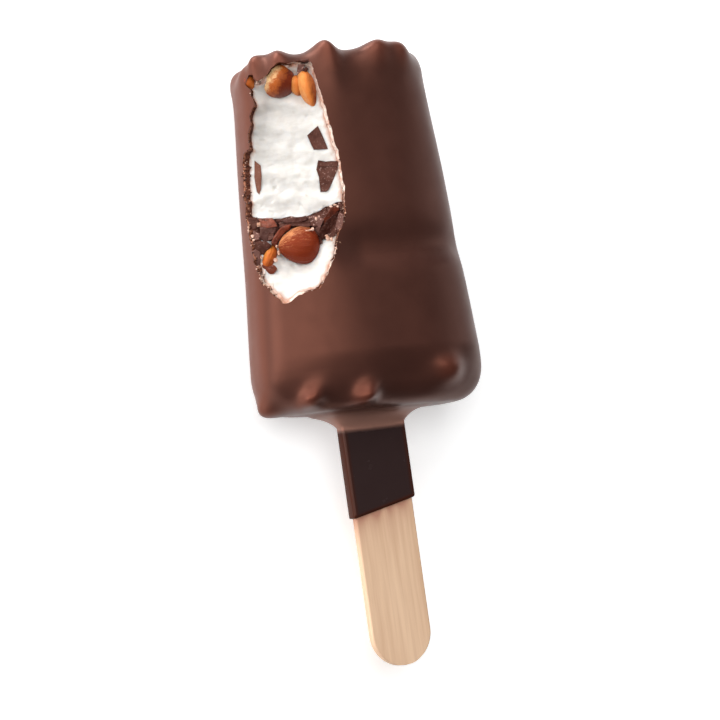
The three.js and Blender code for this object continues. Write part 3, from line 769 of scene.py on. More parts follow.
# white with faint streaks, stained where it touches the chocolate
def vanilla():
    material, tree, shader = startMaterial("vanilla")
    point = objectPoint(tree)
    streaks = noisePattern(tree, objectPoint(tree, (1, 2.6, 1)), 0.0028, 4, 0.6, 0.4)
    base = mixColours(tree, rangeOf(tree, streaks, 0.35, 0.65), iceCream["deep"], iceCream["light"])
    patches = calculate(tree, "MULTIPLY", noisePattern(tree, point, 0.0016, 3, 0.6), 0.8)
    stain = calculate(tree, "ADD", layerValue(tree, "stain"), patches)
    base = mixColours(tree, rangeOf(tree, stain, 0.75, 1.25), base, iceCream["stain"])
    put(tree, shader.inputs["Base Color"], base)
    shader.inputs["Roughness"].default_value = iceCream["rough"]
    shader.inputs["Subsurface Weight"].default_value = iceCream["throughShare"]
    shader.inputs["Subsurface Radius"].default_value = iceCream["throughRadius"]
    shader.inputs["Subsurface Scale"].default_value = iceCream["throughReach"]
    fine = noisePattern(tree, point, 0.0009, 3, 0.5)
    addBump(tree, shader, fine, 0.0001, 0.6)
    return material


dark = {
    "deep": colour(0.030, 0.0080, 0.0060), "light": colour(0.068, 0.023, 0.0165),
    "mauve": colour(0.15, 0.072, 0.060), "rusty": colour(0.17, 0.036, 0.018),
    "milky": colour(0.13, 0.049, 0.032), "bloomAndGlints": colour(0.60, 0.40, 0.34),
    "tint": colour(1.0, 0.5, 0.38), "specular": 0.40, "rough": (0.34, 0.58),
}


# the layer "tone" is 1 for mauve broken faces, paler partly in their own colour and partly as painted
# light on faces turned to the lamps, -1 for reddish ones and 2 for the paler milk chocolate
def darkChocolate():
    material, tree, shader = startMaterial("darkChocolate")
    point = objectPoint(tree)
    flecks = rangeOf(tree, noisePattern(tree, point, 0.0011, 4, 0.65), 0.40, 0.68)
    base = mixColours(tree, flecks, dark["deep"], dark["light"])
    patches = rangeOf(tree, noisePattern(tree, point, 0.0018, 3, 0.6), 0.35, 0.62, 0.35, 1.0)
    tone = layerValue(tree, "tone")
    # painted light in part: the mauve tone makes faces turned to the lamps paler
    mauve = calculate(tree, "MULTIPLY", rangeOf(tree, tone, 0, 1), patches)
    rusty = calculate(tree, "MULTIPLY", rangeOf(tree, tone, 0, -1), patches)
    base = mixColours(tree, mauve, base, dark["mauve"])
    base = mixColours(tree, rusty, base, dark["rusty"])
    base = mixColours(tree, rangeOf(tree, tone, 1, 2), base, dark["milky"])
    # pale specks, partly bloom and partly painted glints, as strong as the layer "pale" asks
    bloomAndGlints = rangeOf(tree, noisePattern(tree, point, 0.00045, 2), 0.60, 0.70)
    bloomAndGlints = calculate(tree, "MULTIPLY", bloomAndGlints, layerValue(tree, "pale"))
    base = mixColours(tree, bloomAndGlints, base, dark["bloomAndGlints"])
    put(tree, shader.inputs["Base Color"], base)
    put(tree, shader.inputs["Roughness"], rangeOf(tree, flecks, 0, 1, *dark["rough"]))
    shader.inputs["Specular IOR Level"].default_value = dark["specular"]
    shader.inputs["Specular Tint"].default_value = dark["tint"]
    addBump(tree, shader, noisePattern(tree, point, 0.0006, 4, 0.6), 0.00012, 0.7)
    return material


paleCrumb = {"pale": colour(0.74, 0.50, 0.40), "tan": colour(0.45, 0.22, 0.13), "rough": 0.5}


def creamyCrumb():
    material, tree, shader = startMaterial("creamyCrumb")
    tones = rangeOf(tree, noisePattern(tree, objectPoint(tree), 0.0012, 2), 0.35, 0.62)
    base = mixColours(tree, tones, paleCrumb["pale"], paleCrumb["tan"])
    put(tree, shader.inputs["Base Color"], base)
    shader.inputs["Roughness"].default_value = paleCrumb["rough"]
    return material


almondShine = {"tint": colour(1, 0.5, 0.3), "coatRough": 0.16}


# the skin's streaks run from end to end, so their pattern follows the layer "skin"; three tones from
# the lit side to the far one
def almondSkin(name, nut):
    material, tree, shader = startMaterial(name)
    node = tree.nodes.new("ShaderNodeAttribute")
    node.attribute_name = "skin"
    streaks = noisePattern(tree, node.outputs["Vector"], 0.10, 4, 0.65)
    mottle = noisePattern(tree, objectPoint(tree), 0.0013, 4, 0.6)
    streakShare, mottleShare = nut["pattern"]
    tone = calculate(tree, "MULTIPLY", calculate(tree, "SUBTRACT", streaks, 0.5), streakShare)
    blotches = calculate(tree, "MULTIPLY", calculate(tree, "SUBTRACT", mottle, 0.5), mottleShare)
    tone = calculate(tree, "ADD", calculate(tree, "ADD", tone, blotches), layerValue(tree, "shade"))
    near, middle, far = (nutTones[word] for word in nut["tones"])
    base = mixColours(tree, rangeOf(tree, tone, -0.42, -0.10), near, middle)
    base = mixColours(tree, rangeOf(tree, tone, -0.02, 0.34), base, far)
    put(tree, shader.inputs["Base Color"], base)
    rough = rangeOf(tree, streaks, 0.3, 0.7, nut["gloss"], nut["gloss"] + 0.14)
    put(tree, shader.inputs["Roughness"], rough)
    shader.inputs["Specular IOR Level"].default_value = nut["shine"]
    shader.inputs["Specular Tint"].default_value = almondShine["tint"]
    shader.inputs["Coat Weight"].default_value = nut["coat"]
    shader.inputs["Coat Roughness"].default_value = almondShine["coatRough"]
    addBump(tree, shader, streaks, 0.00025, 0.6)
    return material


wood = {
    "deep": colour(0.70, 0.445, 0.28), "light": colour(0.84, 0.58, 0.385),
    "stain": colour(0.47, 0.215, 0.14), "grainShare": 0.6, "ringShare": 0.4,
}


# fine grain and broad rings that run along the stick, stained where the chocolate ends
def birch():
    material, tree, shader = startMaterial("birch")
    grain = noisePattern(tree, objectPoint(tree, (1, 0.035, 1)), 0.0009, 4, 0.6, 0.15)
    rings = noisePattern(tree, objectPoint(tree, (1, 0.06, 1)), 0.004, 2, 0.5, 0.3)
    tone = calculate(tree, "MULTIPLY", grain, wood["grainShare"])
    tone = calculate(tree, "ADD", tone, calculate(tree, "MULTIPLY", rings, wood["ringShare"]))
    base = mixColours(tree, rangeOf(tree, tone, 0.36, 0.64), wood["deep"], wood["light"])
    stain = rangeOf(tree, layerValue(tree, "stain"), 0.0, 0.5, 0.0, 0.95)
    base = mixColours(tree, stain, base, wood["stain"])
    put(tree, shader.inputs["Base Color"], base)
    put(tree, shader.inputs["Roughness"], rangeOf(tree, grain, 0.3, 0.7, 0.55, 0.72))
    addBump(tree, shader, grain, 0.00008, 0.6)
    return material


coatingLook = milkChocolate()
vanillaLook = vanilla()
darkLook = darkChocolate()
paleLook = creamyCrumb()
birchLook = birch()
print("materials ready")


# height of the end of the chocolate over the neck of the stick
def dipLine(x):
    return mix(sleeve["left"], sleeve["right"], (x - stick["offset"]) / stick["width"] + 0.5)


# the plain block of chocolate round the neck, slanted at its end
def sleeveBody():
    half = stick["width"] / 2 + sleeve["proud"]
    thin = stick["thickness"] / 2 + sleeve["proud"]
    top = bar["bottom"] + bar["thickness"]
    bm = bmesh.new()
    bmesh.ops.create_cube(bm, size=2)
    for vert in bm.verts:
        end = sleeve["left"] if vert.co.x < 0 else sleeve["right"]
        vert.co = (vert.co.x * half + stick["offset"], top if vert.co.y > 0 else end, vert.co.z * thin)
    bmesh.ops.bevel(
        bm, geom=bm.edges, offset=sleeve["round"], segments=4, affect="EDGES", profile=0.5, material=-1,
    )
    bmesh.ops.triangulate(bm, faces=bm.faces)
    return bm


# the stick with round ends, larger all round by grow, and broken at its edges by bevel
def stickBody(grow, rows, columns, bevel):
    half = stick["width"] / 2 + grow
    length = stick["length"] + 2 * grow
    bm = bmesh.new()
    bmesh.ops.create_grid(bm, x_segments=columns, y_segments=rows, size=1)
    for vert in bm.verts:
        y = math.sin(vert.co.y * math.pi / 2)
        y = mix(vert.co.y, y, 0.75) * length / 2
        past = max(abs(y) - (length / 2 - half), 0)
        wide = math.sqrt(max(half * half - past * past, 0))
        vert.co = (vert.co.x * wide + stick["offset"], y + stick["end"] + stick["length"] / 2, 0)
    bmesh.ops.remove_doubles(bm, verts=bm.verts, dist=1e-4)
    bmesh.ops.dissolve_degenerate(bm, edges=bm.edges, dist=1e-4)
    base = list(bm.faces)
    top = bmesh.ops.extrude_face_region(bm, geom=base, use_keep_orig=True)
    raised = [item for item in top["geom"] if isinstance(item, bmesh.types.BMVert)]
    thick = stick["thickness"] + 2 * grow
    bmesh.ops.translate(bm, verts=raised, vec=(0, 0, thick))
    bmesh.ops.translate(bm, verts=bm.verts, vec=(0, 0, -thick / 2))
    faceOutward(bm)
    if bevel:
        rims = [e for e in bm.edges if len(e.link_faces) == 2 and e.calc_face_angle() > 1.2]
        bmesh.ops.bevel(
            bm, geom=rims, offset=bevel, segments=3, affect="EDGES", profile=0.5, material=-1,
        )
    return bm


# rows and columns of vertices over the flat neck, which its layers and its shading need
def divideNeck(piece):
    left, right = (stick["offset"] + side * stick["width"] / 2 for side in (-1, 1))
    dip = Vector((sleeve["left"] - sleeve["right"], right - left, 0)).normalized()
    planes = [(Vector((0, y, 0)), Vector((0, 1, 0))) for y in sleeve["rows"]]
    planes += [(Vector((left, sleeve["left"] + y, 0)), dip) for y in sleeve["dipRows"]]
    planes += [(Vector((stick["offset"] + x, 0, 0)), Vector((1, 0, 0))) for x in sleeve["columns"]]
    bm = bmesh.new()
    bm.from_mesh(piece.data)
    for place, way in planes:
        # cuts along the stick stop at the bar
        faces = [f for f in bm.faces if way.x < 0.9 or max(vert.co.y for vert in f.verts) < 0.35]
        around = {item for face in faces for item in (*face.verts, *face.edges)}
        bmesh.ops.bisect_plane(bm, geom=[*faces, *around], plane_co=place, plane_no=way)
    bm.to_mesh(piece.data)
    bm.free()


# what the bar's filling fills, just inside the coating
def fillingBody():
    return barBody(bar["thickness"] + bar["creamGap"], bar["innerSides"], bar["innerSteps"])


def makeStickRoom(name):
    room = stickBody(stick["play"], stick["playRows"], stick["playColumns"], 0)
    return makeObject(name, room)


def makeCoating(edges):
    coating = makeObject("coating", barBody(0, bar["fineSides"], bar["fineSteps"], outside=True))
    around = makeObject("sleeve", sleeveBody())
    cut(coating, around, how="UNION")
    skinTree = BVHTree.FromPolygons(
        [vert.co.copy() for vert in coating.data.vertices],
        [tuple(face.vertices) for face in coating.data.polygons],
    )
    inside = makeObject("inside", barBody(bar["thickness"], bar["innerSides"], bar["innerSteps"]))
    stickRoom = makeStickRoom("stickRoom")
    taken = makeObject("taken", biteCutter(edges, 0, tornCream))
    cut(coating, inside, stickRoom, taken)
    discard(around, inside, stickRoom, taken)
    divideNeck(coating)
    rims = KDTree(2 * len(edges))
    for index, rimEdge in enumerate(edges):
        rims.insert(fromBite(*rimEdge[0]), index)
        rims.insert(fromBite(*rimEdge[1]), index)
    rims.balance()
    frames = lumpFrames()
    names = ("lump", "broken", "glow", "smear", "olive", "neck", "edge", "band", "side")
    layers = {name: [] for name in names}
    for vert in coating.data.vertices:
        spot = vert.co
        deep = skinTree.find_nearest(spot)[3] or 0.0  # how far under the unbroken skin
        layers["broken"].append(smooth(deep, 0.02, 0.10))
        layers["glow"].append(smooth(deep, 0.02, 0.10) * (1 - smooth(deep, 0.25, 0.7)))
        layers["smear"].append(edges[rims.find(spot)[1]][3] if deep > 0.01 else 0.0)
        layers["olive"].append(smooth(spot.y, 37, 33) * smooth(deep, 0.9, 0.2))
        swell = 0.0
        for middle, aroundWay, alongWay, out, rise, around, along, bluff in frames:
            gap = spot - middle - out * rise
            if gap.length_squared < 60:
                spread = (gap.dot(aroundWay) / around) ** 2 + (gap.dot(alongWay) / along) ** 2
                swell = max(swell, math.exp(-spread / 2))
        layers["lump"].append(swell)
        # how far the skin has turned from the front to the left, where the left side gets its painted
        # light: a lighter, redder tone
        turned = math.degrees(math.atan2(-vert.normal.x, vert.normal.z)) % 360
        layers["side"].append(smooth(turned, 58, 82) * (1 - smooth(turned, 120, 150)) * (deep < 0.02))
        onNeck = smooth(spot.y, 0.3, -0.9)
        layers["neck"].append(onNeck)
        # the collar's fillet, off the neck, gets a pale band of painted reflection
        reach = collarDistance(spot.x, spot.z) if spot.y < 6 else collar["reach"]
        onCollar = smooth(reach, collar["reach"], 1.5) * smooth(spot.y, 6, 3.5)
        layers["band"].append(onCollar * (1 - onNeck))
        nearLine = smooth(spot.y - dipLine(spot.x), 1.1, 0.1)
        beyond = abs(spot.x - stick["offset"]) - stick["width"] / 2
        nearSide = smooth(beyond, -0.5, 0.4)
        layers["edge"].append(max(nearLine, nearSide) * onNeck)
    for name, values in layers.items():
        setLayer(coating, name, values)
    return finishPiece(coating, coatingLook, ["chocolate_coating"], sharp=48)


# the band's upper and lower line in u and v, how far it stands out of the bite, and its ragged edges
band = {
    "upper": [
        (-31, 50.6), (-22, 51.1), (-17.6, 49.4), (-13.4, 49.5),
        (-9.2, 48.9), (-4.4, 50.4), (0, 50.9), (31, 50.2),
    ],
    "lower": [
        (-31, 45.6), (-22, 45.0), (-17.9, 45.2), (-12.2, 46.8),
        (-8.6, 45.4), (-5.2, 42.9), (0, 44.4), (31, 45.6),
    ],
    "proud": 0.5, "gap": 0.03, "columns": 120, "ragged": 0.3, "lowest": -20, "highest": 100,
}


# height of one of the band's edges at u
def bandEdge(points, u, seed):
    for i in range(len(points) - 1):
        if u <= points[i + 1][0] or i == len(points) - 2:
            break
    before, start = points[max(i - 1, 0)], points[i]
    end, after = points[i + 1], points[min(i + 2, len(points) - 1)]
    span = end[0] - start[0]
    t = min(max((u - start[0]) / span, 0), 1)
    pull = (end[1] - before[1]) / max(end[0] - before[0], 0.1) * span
    push = (after[1] - start[1]) / max(after[0] - start[0], 0.1) * span
    height = start[1] * (2 * t**3 - 3 * t**2 + 1) + pull * (t**3 - 2 * t**2 + t)
    height += end[1] * (3 * t**2 - 2 * t**3) + push * (t**3 - t**2)
    return height + band["ragged"] * noise.noise(Vector((u / 1.3, seed, 0)))


def upperLine(u):
    return bandEdge(band["upper"], u, 3.3)


def lowerLine(u):
    return bandEdge(band["lower"], u, 8.8)


# everything between two heights along u, right through the bar
def layerBody(below, above):
    reach = bar["baseWidth"] + 1
    bm = bmesh.new()
    bmesh.ops.create_grid(bm, x_segments=band["columns"], y_segments=1, size=1)
    for vert in bm.verts:
        u = vert.co.x * reach
        vert.co = fromBite(u, above(u) if vert.co.y > 0 else below(u), -bite["farOut"])
    raised = bmesh.ops.extrude_face_region(bm, geom=list(bm.faces), use_keep_orig=True)
    verts = [item for item in raised["geom"] if isinstance(item, bmesh.types.BMVert)]
    bmesh.ops.translate(bm, verts=verts, vec=outWay * 2 * bite["farOut"])
    faceOutward(bm)
    return bm


# the ice cream above and below the band, and the band
def makeFilling(edges):
    whole = fillingBody()
    wholeTree = BVHTree.FromBMesh(whole)
    source = makeObject("wholeCream", whole)
    taken = makeObject("takenCream", biteCutter(edges, 0, tornCream))
    stickRoom = makeStickRoom("stickRoomCream")
    cut(source, taken, stickRoom)
    parts = {
        "ice_cream_upper": layerBody(lambda u: upperLine(u) + band["gap"], lambda u: band["highest"]),
        "ice_cream_lower": layerBody(lambda u: band["lowest"], lambda u: lowerLine(u) - band["gap"]),
    }
    for name, region in parts.items():
        piece = source.copy()
        piece.data = source.data.copy()
        piece.name = name.replace("ice_cream", "vanilla")
        bpy.context.scene.collection.objects.link(piece)
        tool = makeObject("region", region)
        cut(piece, tool, how="INTERSECT")
        discard(tool)
        stain = []
        for vert in piece.data.vertices:
            depth = wholeTree.find_nearest(vert.co)[3]
            stain.append(0.75 * math.exp(-depth / 0.7))
        setLayer(piece, "stain", stain)
        finishPiece(piece, vanillaLook, [name], sharp=80)
    source.name = "wholeBand"
    darkBite = makeObject("darkBite", biteCutter(edges, band["proud"], brokenDark))
    room = makeObject("bandRoom", layerBody(lowerLine, upperLine))
    piece = makeObject("dark_band", fillingBody())
    cut(piece, room, how="INTERSECT")
    cut(piece, darkBite)
    setLayer(piece, "pale", [0.5] * len(piece.data.vertices))
    finishPiece(piece, darkLook, ["chocolate_band"], sharp=35)
    discard(source, taken, stickRoom, darkBite, room)


nutTones = {
    "straw": colour(1.0, 0.70, 0.35), "gold": colour(0.47, 0.19, 0.03), "honey": colour(0.80, 0.40, 0.13),
    "orange": colour(0.68, 0.20, 0.042), "amber": colour(0.46, 0.105, 0.018),
    "tan": colour(0.50, 0.195, 0.08), "sienna": colour(0.175, 0.024, 0.007),
    "rust": colour(0.165, 0.021, 0.007), "brown": colour(0.15, 0.022, 0.010),
}
# where each lies in the bite, where its tip and its flat side point, its length, width and thickness,
# its tones from the lit side to the far one, and how much of streaks and of mottling its skin has
almonds = {
    "almond_top_left": {
        "at": (-11.15, 81.0, 9.7), "tip": (-0.05, 0.08, -1), "flat": (1, 0, 0),
        "size": (13, 8.7, 8.2),
        "tones": ("straw", "amber", "brown"), "lit": (-0.75, 0.65, 0.1), "shade": 0.68, "ridge": 0.06,
        "dents": 0.3, "point": 1.0, "pattern": (0.5, 0.75), "gloss": 0.34, "coat": 0.08, "shine": 0.45,
    },
    "almond_top_right": {
        "at": (-4.6, 77.5, 11.9), "tip": (0.2, -0.95, 0.2), "flat": (1, 0.2, 0),
        "size": (8.8, 9.4, 4.2),
        "tones": ("honey", "orange", "sienna"), "lit": (-0.9, 0.35, 0.1), "shade": 0.30, "ridge": 0.05,
        "dents": 0.12, "pattern": (0.3, 0.4), "gloss": 0.4, "coat": 0.05, "shine": 0.35,
        "lobe": {"at": (-7.0, 78.8, 11.9), "size": (4.6, 5.5, 3.7), "tip": (0.1, -1, 0.1)},
    },
    "almond_edge": {
        "at": (-17.1, 81.3, 11.2), "tip": (0.3, 0.1, -0.9), "flat": (1, 0, 0.3),
        "size": (6.6, 4.0, 3.0),
        "tones": ("orange", "amber", "brown"), "lit": (1, -0.2, 0), "shade": 0.4, "ridge": 0.05,
        "dents": 0.3, "pattern": (0.2, 0.9), "gloss": 0.4, "coat": 0.05, "shine": 0.35,
    },
    "almond_middle": {
        "at": (-11.5, 42.6, 12.2), "tip": (-1, 0.03, 0.15), "flat": (-0.2, 0.35, 0.9),
        "size": (9.5, 8.7, 7.6),
        "tones": ("tan", "sienna", "rust"), "lit": (-0.5, 0.95, -0.15), "shade": 0.46, "ridge": 0.07,
        "dents": 0.1, "pattern": (1.5, 0.25), "gloss": 0.38, "coat": 0.03, "shine": 0.2,
    },
    "almond_left": {
        "at": (-18.3, 40.9, 10.8), "tip": (0.4, 0.8, -0.4), "flat": (0.9, -0.4, 0.2),
        "size": (8.2, 5.4, 3.3),
        "tones": ("gold", "amber", "rust"), "lit": (-0.1, 1, 0), "shade": 0.42, "ridge": 0.05,
        "dents": 0.12, "pattern": (0.2, 0.5), "gloss": 0.4, "coat": 0.05, "shine": 0.3,
    },
}


# an almond lies along its length, thinner at the tip, with fine ridges from end to end in its skin
def almondBody(nut, form, seed):
    bm = bmesh.new()
    bmesh.ops.create_uvsphere(bm, u_segments=120, v_segments=72, radius=1)
    skin = bm.verts.layers.float_vector.new("skin")
    shade = bm.verts.layers.float.new("shade")
    length = fromBite(*form.get("tip", nut["tip"])).normalized()
    width = length.cross(fromBite(*nut["flat"])).normalized()
    thickness = width.cross(length)
    lit = fromBite(*nut["lit"]).normalized()
    middle = fromBite(*form["at"])
    long, wide, thick = form["size"]
    for vert in bm.verts:
        along = min(max(vert.co.z, -1), 1)
        turn = math.atan2(vert.co.y, vert.co.x)
        girth = math.sqrt(max(1 - along * along, 0))
        profile = girth ** nut.get("point", 0.92) * (1 - 0.22 * along - 0.08 * along * along)
        around = Vector((math.cos(turn), math.sin(turn), 0))
        ridges = noise.noise(around * 5.5 + Vector((seed, seed, along * 0.7)))
        ridges += 0.6 * noise.noise(around * 13 + Vector((seed, 0, along * 1.1)))
        dent = noise.noise(around * 1.3 + Vector((0, seed * 3.1, along * 1.6))) * nut["dents"] * girth
        x = around.x * (wide * profile / 2 + nut["ridge"] * ridges * girth + dent)
        z = around.y * (thick * profile / 2 + nut["ridge"] * ridges * girth + dent)
        spot = width * x + length * (along / 2 * long) + thickness * z
        facing = (width * (around.x / wide) + thickness * (around.y / thick)) * girth
        facing += length * (along / long)
        vert[skin] = around + Vector((seed, 0, along * 0.35))
        vert[shade] = -nut["shade"] * facing.normalized().dot(lit)
        vert.co = middle + spot
    faceOutward(bm)
    return bm


def makeAlmond(name, nut, seed):
    piece = makeObject(name.replace("almond", "nut"), almondBody(nut, nut, seed))
    if "lobe" in nut:
        lobe = makeObject("lobe", almondBody(nut, nut["lobe"], seed + 3))
        cut(piece, lobe, how="UNION")
        discard(lobe)
    look = almondSkin(name + "Skin", nut)
    finishPiece(piece, look, [name], sharp=70)


# broken pieces of the dark chocolate: an outline in u, v, how far the piece stands out of the bite's
# floor and how much its face climbs along u and v, or None where it follows the floor
chunks = {
    "chunk_right_upper": [
        {
            "outline": [(-3.6, 68.9), (-6.3, 67.2), (-5.3, 63.7), (-2.0, 63.2), (-2.7, 65.9)],
            "rise": 0.16, "climb": None, "bevel": 0.07,
        },
    ],
    "chunk_right_lower": [
        {
            "outline": [
                (-4.6, 61.2), (-2.9, 60.6), (-0.2, 60.2), (-0.5, 58.4), (-1.7, 56.4),
                (-3.0, 54.4), (-3.8, 53.8), (-5.1, 54.0), (-5.0, 57.4), (-5.3, 59.2),
            ],
            "rise": 0.2, "climb": None, "bevel": 0.07, "pale": 0.3,
        },
        {
            "outline": [
                (-4.5, 61.0), (-2.9, 60.5), (-0.1, 60.0), (-0.4, 58.9), (-2.1, 59.3), (-4.9, 59.7),
            ],
            "rise": 0.38, "climb": None, "bevel": 0.1,
        },
    ],
    "chunk_left": [
        {
            "outline": [
                (-18.9, 63.4), (-17.7, 62.0), (-17.8, 59.4), (-18.4, 56.5),
                (-18.9, 55.5), (-19.4, 56.2), (-19.5, 59.6),
            ],
            "rise": 0.22, "climb": None, "bevel": 0.07, "look": "milky",
        },
    ],
    "chunk_top": [
        {
            "outline": [(-6.0, 83.0), (-4.4, 82.9), (-5.3, 81.6), (-6.6, 80.8), (-6.4, 82.2)],
            "rise": 1.0, "climb": (0.3, 0.2), "pale": 1.0, "look": "mauve",
        },
        {
            "outline": [(-4.4, 82.3), (-3.8, 81.7), (-5.4, 80.7), (-6.2, 80.4)],
            "rise": 1.7, "climb": (0.2, 0.3),
        },
        {
            "outline": [(-7.1, 83.9), (-3.5, 83.6), (-3.6, 83.1), (-6.9, 83.4)],
            "rise": 2.2, "climb": (0.1, 0.1),
        },
    ],
}
# the shards that the band breaks into at the bite
bandShards = [
    # the bar's top face is painted paler in mauve as painted light, its front keeps the plain dark tone
    {  # flat bar over the middle almond, its lit top face and its dark front
        "outline": [
            (-14.8, 48.6), (-13.5, 48.8), (-9.1, 48.9),
            (-8.7, 48.4), (-9.2, 47.9), (-13.4, 47.9),
        ],
        "rise": 1.5, "climb": (0.05, 0.5), "bevel": 0.1, "look": "mauve",
    },
    {
        "outline": [
            (-14.9, 48.0), (-13.4, 48.3), (-9.0, 48.4), (-8.2, 46.6), (-9.2, 46.4),
            (-11.0, 46.9), (-12.5, 47.2), (-14.8, 47.0), (-15.6, 47.3),
        ],
        "rise": 1.35, "climb": (0.02, -0.35), "bevel": 0.12,
    },
    {  # smooth reddish ridge beside it
        "outline": [
            (-17.8, 43.6), (-17.0, 45.2), (-16.1, 46.2), (-14.8, 47.3), (-13.7, 47.5), (-12.5, 47.4),
            (-13.2, 46.4), (-14.2, 46.1), (-15.4, 44.9), (-16.2, 44.0), (-16.7, 43.0),
        ],
        "rise": 2.3, "climb": (-0.1, 0.2), "bevel": 0.42, "look": "rusty",
    },
    # its mauve tone and pale specks are partly painted light on a face turned to the lamps
    {  # broken face that turns to the left
        "outline": [
            (-8.0, 48.9), (-6.0, 48.2), (-5.1, 47.4), (-6.3, 45.6),
            (-6.2, 43.7), (-7.6, 44.5), (-7.9, 46.4),
        ],
        "rise": 1.1, "climb": (0.6, 0.15), "bevel": 0.08, "look": "mauve", "pale": 0.6,
    },
    {  # the dark one behind it, and its reddish ridge
        "outline": [
            (-5.3, 46.2), (-4.4, 47.2), (-2.7, 48.2), (-1.5, 48.8), (-2.4, 46.6),
            (-3.2, 44.4), (-4.7, 43.3), (-6.2, 43.2), (-6.8, 43.8), (-6.3, 45.4),
        ],
        "rise": 1.25, "climb": (-0.35, 0.3), "bevel": 0.1,
    },
    {
        "outline": [
            (-5.3, 47.4), (-3.9, 49.1), (-3.1, 49.8), (-1.6, 49.8),
            (-1.3, 49.1), (-2.7, 48.2), (-4.4, 47.0), (-5.4, 46.0),
        ],
        "rise": 1.75, "climb": (-0.15, 0.45), "bevel": 0.16, "look": "rusty",
    },
    {
        "outline": [(-9.5, 44.4), (-7.7, 43.9), (-6.2, 43.4), (-6.2, 42.2), (-7.0, 42.0), (-7.9, 42.9)],
        "rise": 1.0, "climb": (0.2, -0.2), "bevel": 0.08,
    },
    {
        "outline": [
            (-1.6, 48.4), (-0.5, 47.6), (-1.0, 45.4), (-2.0, 43.6),
            (-3.0, 43.2), (-3.3, 44.2), (-2.4, 46.4),
        ],
        "rise": 0.9, "climb": (0.3, 0.1), "bevel": 0.08, "look": "mauve", "pale": 0.8,
    },
    {  # crumbled left end
        "outline": [
            (-19.9, 50.1), (-16.6, 49.7), (-15.8, 47.6),
            (-16.7, 47.4), (-18.0, 47.4), (-19.7, 48.0),
        ],
        "rise": 1.2, "climb": (0.1, -0.3), "bevel": 0.08, "look": "rusty",
    },
    {
        "outline": [
            (-19.8, 48.1), (-18.0, 47.5), (-16.7, 47.5), (-15.9, 47.4),
            (-17.2, 45.4), (-17.6, 43.9), (-18.9, 44.3), (-20.0, 45.6),
        ],
        "rise": 0.95, "climb": (-0.12, 0.25), "bevel": 0.07, "look": "mauve",
    },
    {
        "outline": [(-18.5, 46.4), (-16.9, 46.2), (-17.0, 45.0), (-18.2, 44.6)],
        "rise": 1.35, "climb": (0.3, -0.35), "bevel": 0.06,
    },
    {
        "outline": [
            (-22.1, 50.5), (-20.0, 50.2), (-19.9, 48.9),
            (-20.4, 47.6), (-21.6, 47.5), (-22.2, 48.8),
        ],
        "rise": 0.9, "climb": (0.25, 0.1), "bevel": 0.07,
    },
    {
        "outline": [(-21.5, 47.6), (-19.8, 47.5), (-20.0, 45.6), (-20.8, 44.9), (-21.6, 45.9)],
        "rise": 0.75, "climb": (-0.2, -0.3), "bevel": 0.07, "look": "mauve", "pale": 0.5,
    },
    {
        "outline": [(-21.5, 45.3), (-20.0, 45.0), (-18.8, 43.6), (-19.6, 42.6), (-21.3, 43.4)],
        "rise": 0.2, "climb": (0.1, 0.3), "bevel": 0.07,
    },
    {
        "outline": [
            (-21.9, 44.8), (-18.8, 44.5), (-17.6, 43.5), (-18.3, 42.6),
            (-20.0, 41.2), (-20.5, 38.2), (-21.2, 37.4), (-22.1, 40.0),
        ],
        "rise": 0.05, "climb": (0.05, 0.1), "bevel": 0.12,
    },
    {
        "outline": [
            (-20.4, 39.4), (-19.2, 38.6), (-17.8, 38.9), (-17.1, 38.0),
            (-18.0, 37.0), (-19.5, 36.9), (-20.4, 37.9),
        ],
        "rise": 0.25, "climb": (0.1, 0.2), "bevel": 0.2, "look": "rusty",
    },
    {
        "outline": [
            (-22.3, 42.4), (-21.2, 43.0), (-20.4, 42.1),
            (-20.5, 40.5), (-21.0, 38.4), (-22.1, 40.0),
        ],
        "rise": 0.75, "climb": (0.25, 0.2), "bevel": 0.08, "look": "mauve",
    },
]
# what shards have in common: how deep they reach, the size and depth of their roughness, and how much
# of it the ones that lie flush keep
shardForm = {
    "deep": 8.5, "bevel": 0.14, "tilt": 1.5, "pale": 0.12, "cuts": 4,
    "rough": ((0.8, 0.09), (2.0, 0.16)), "calm": 0.35,
    "tones": {"mauve": 1.0, "rusty": -1.0, "milky": 2.0},
}


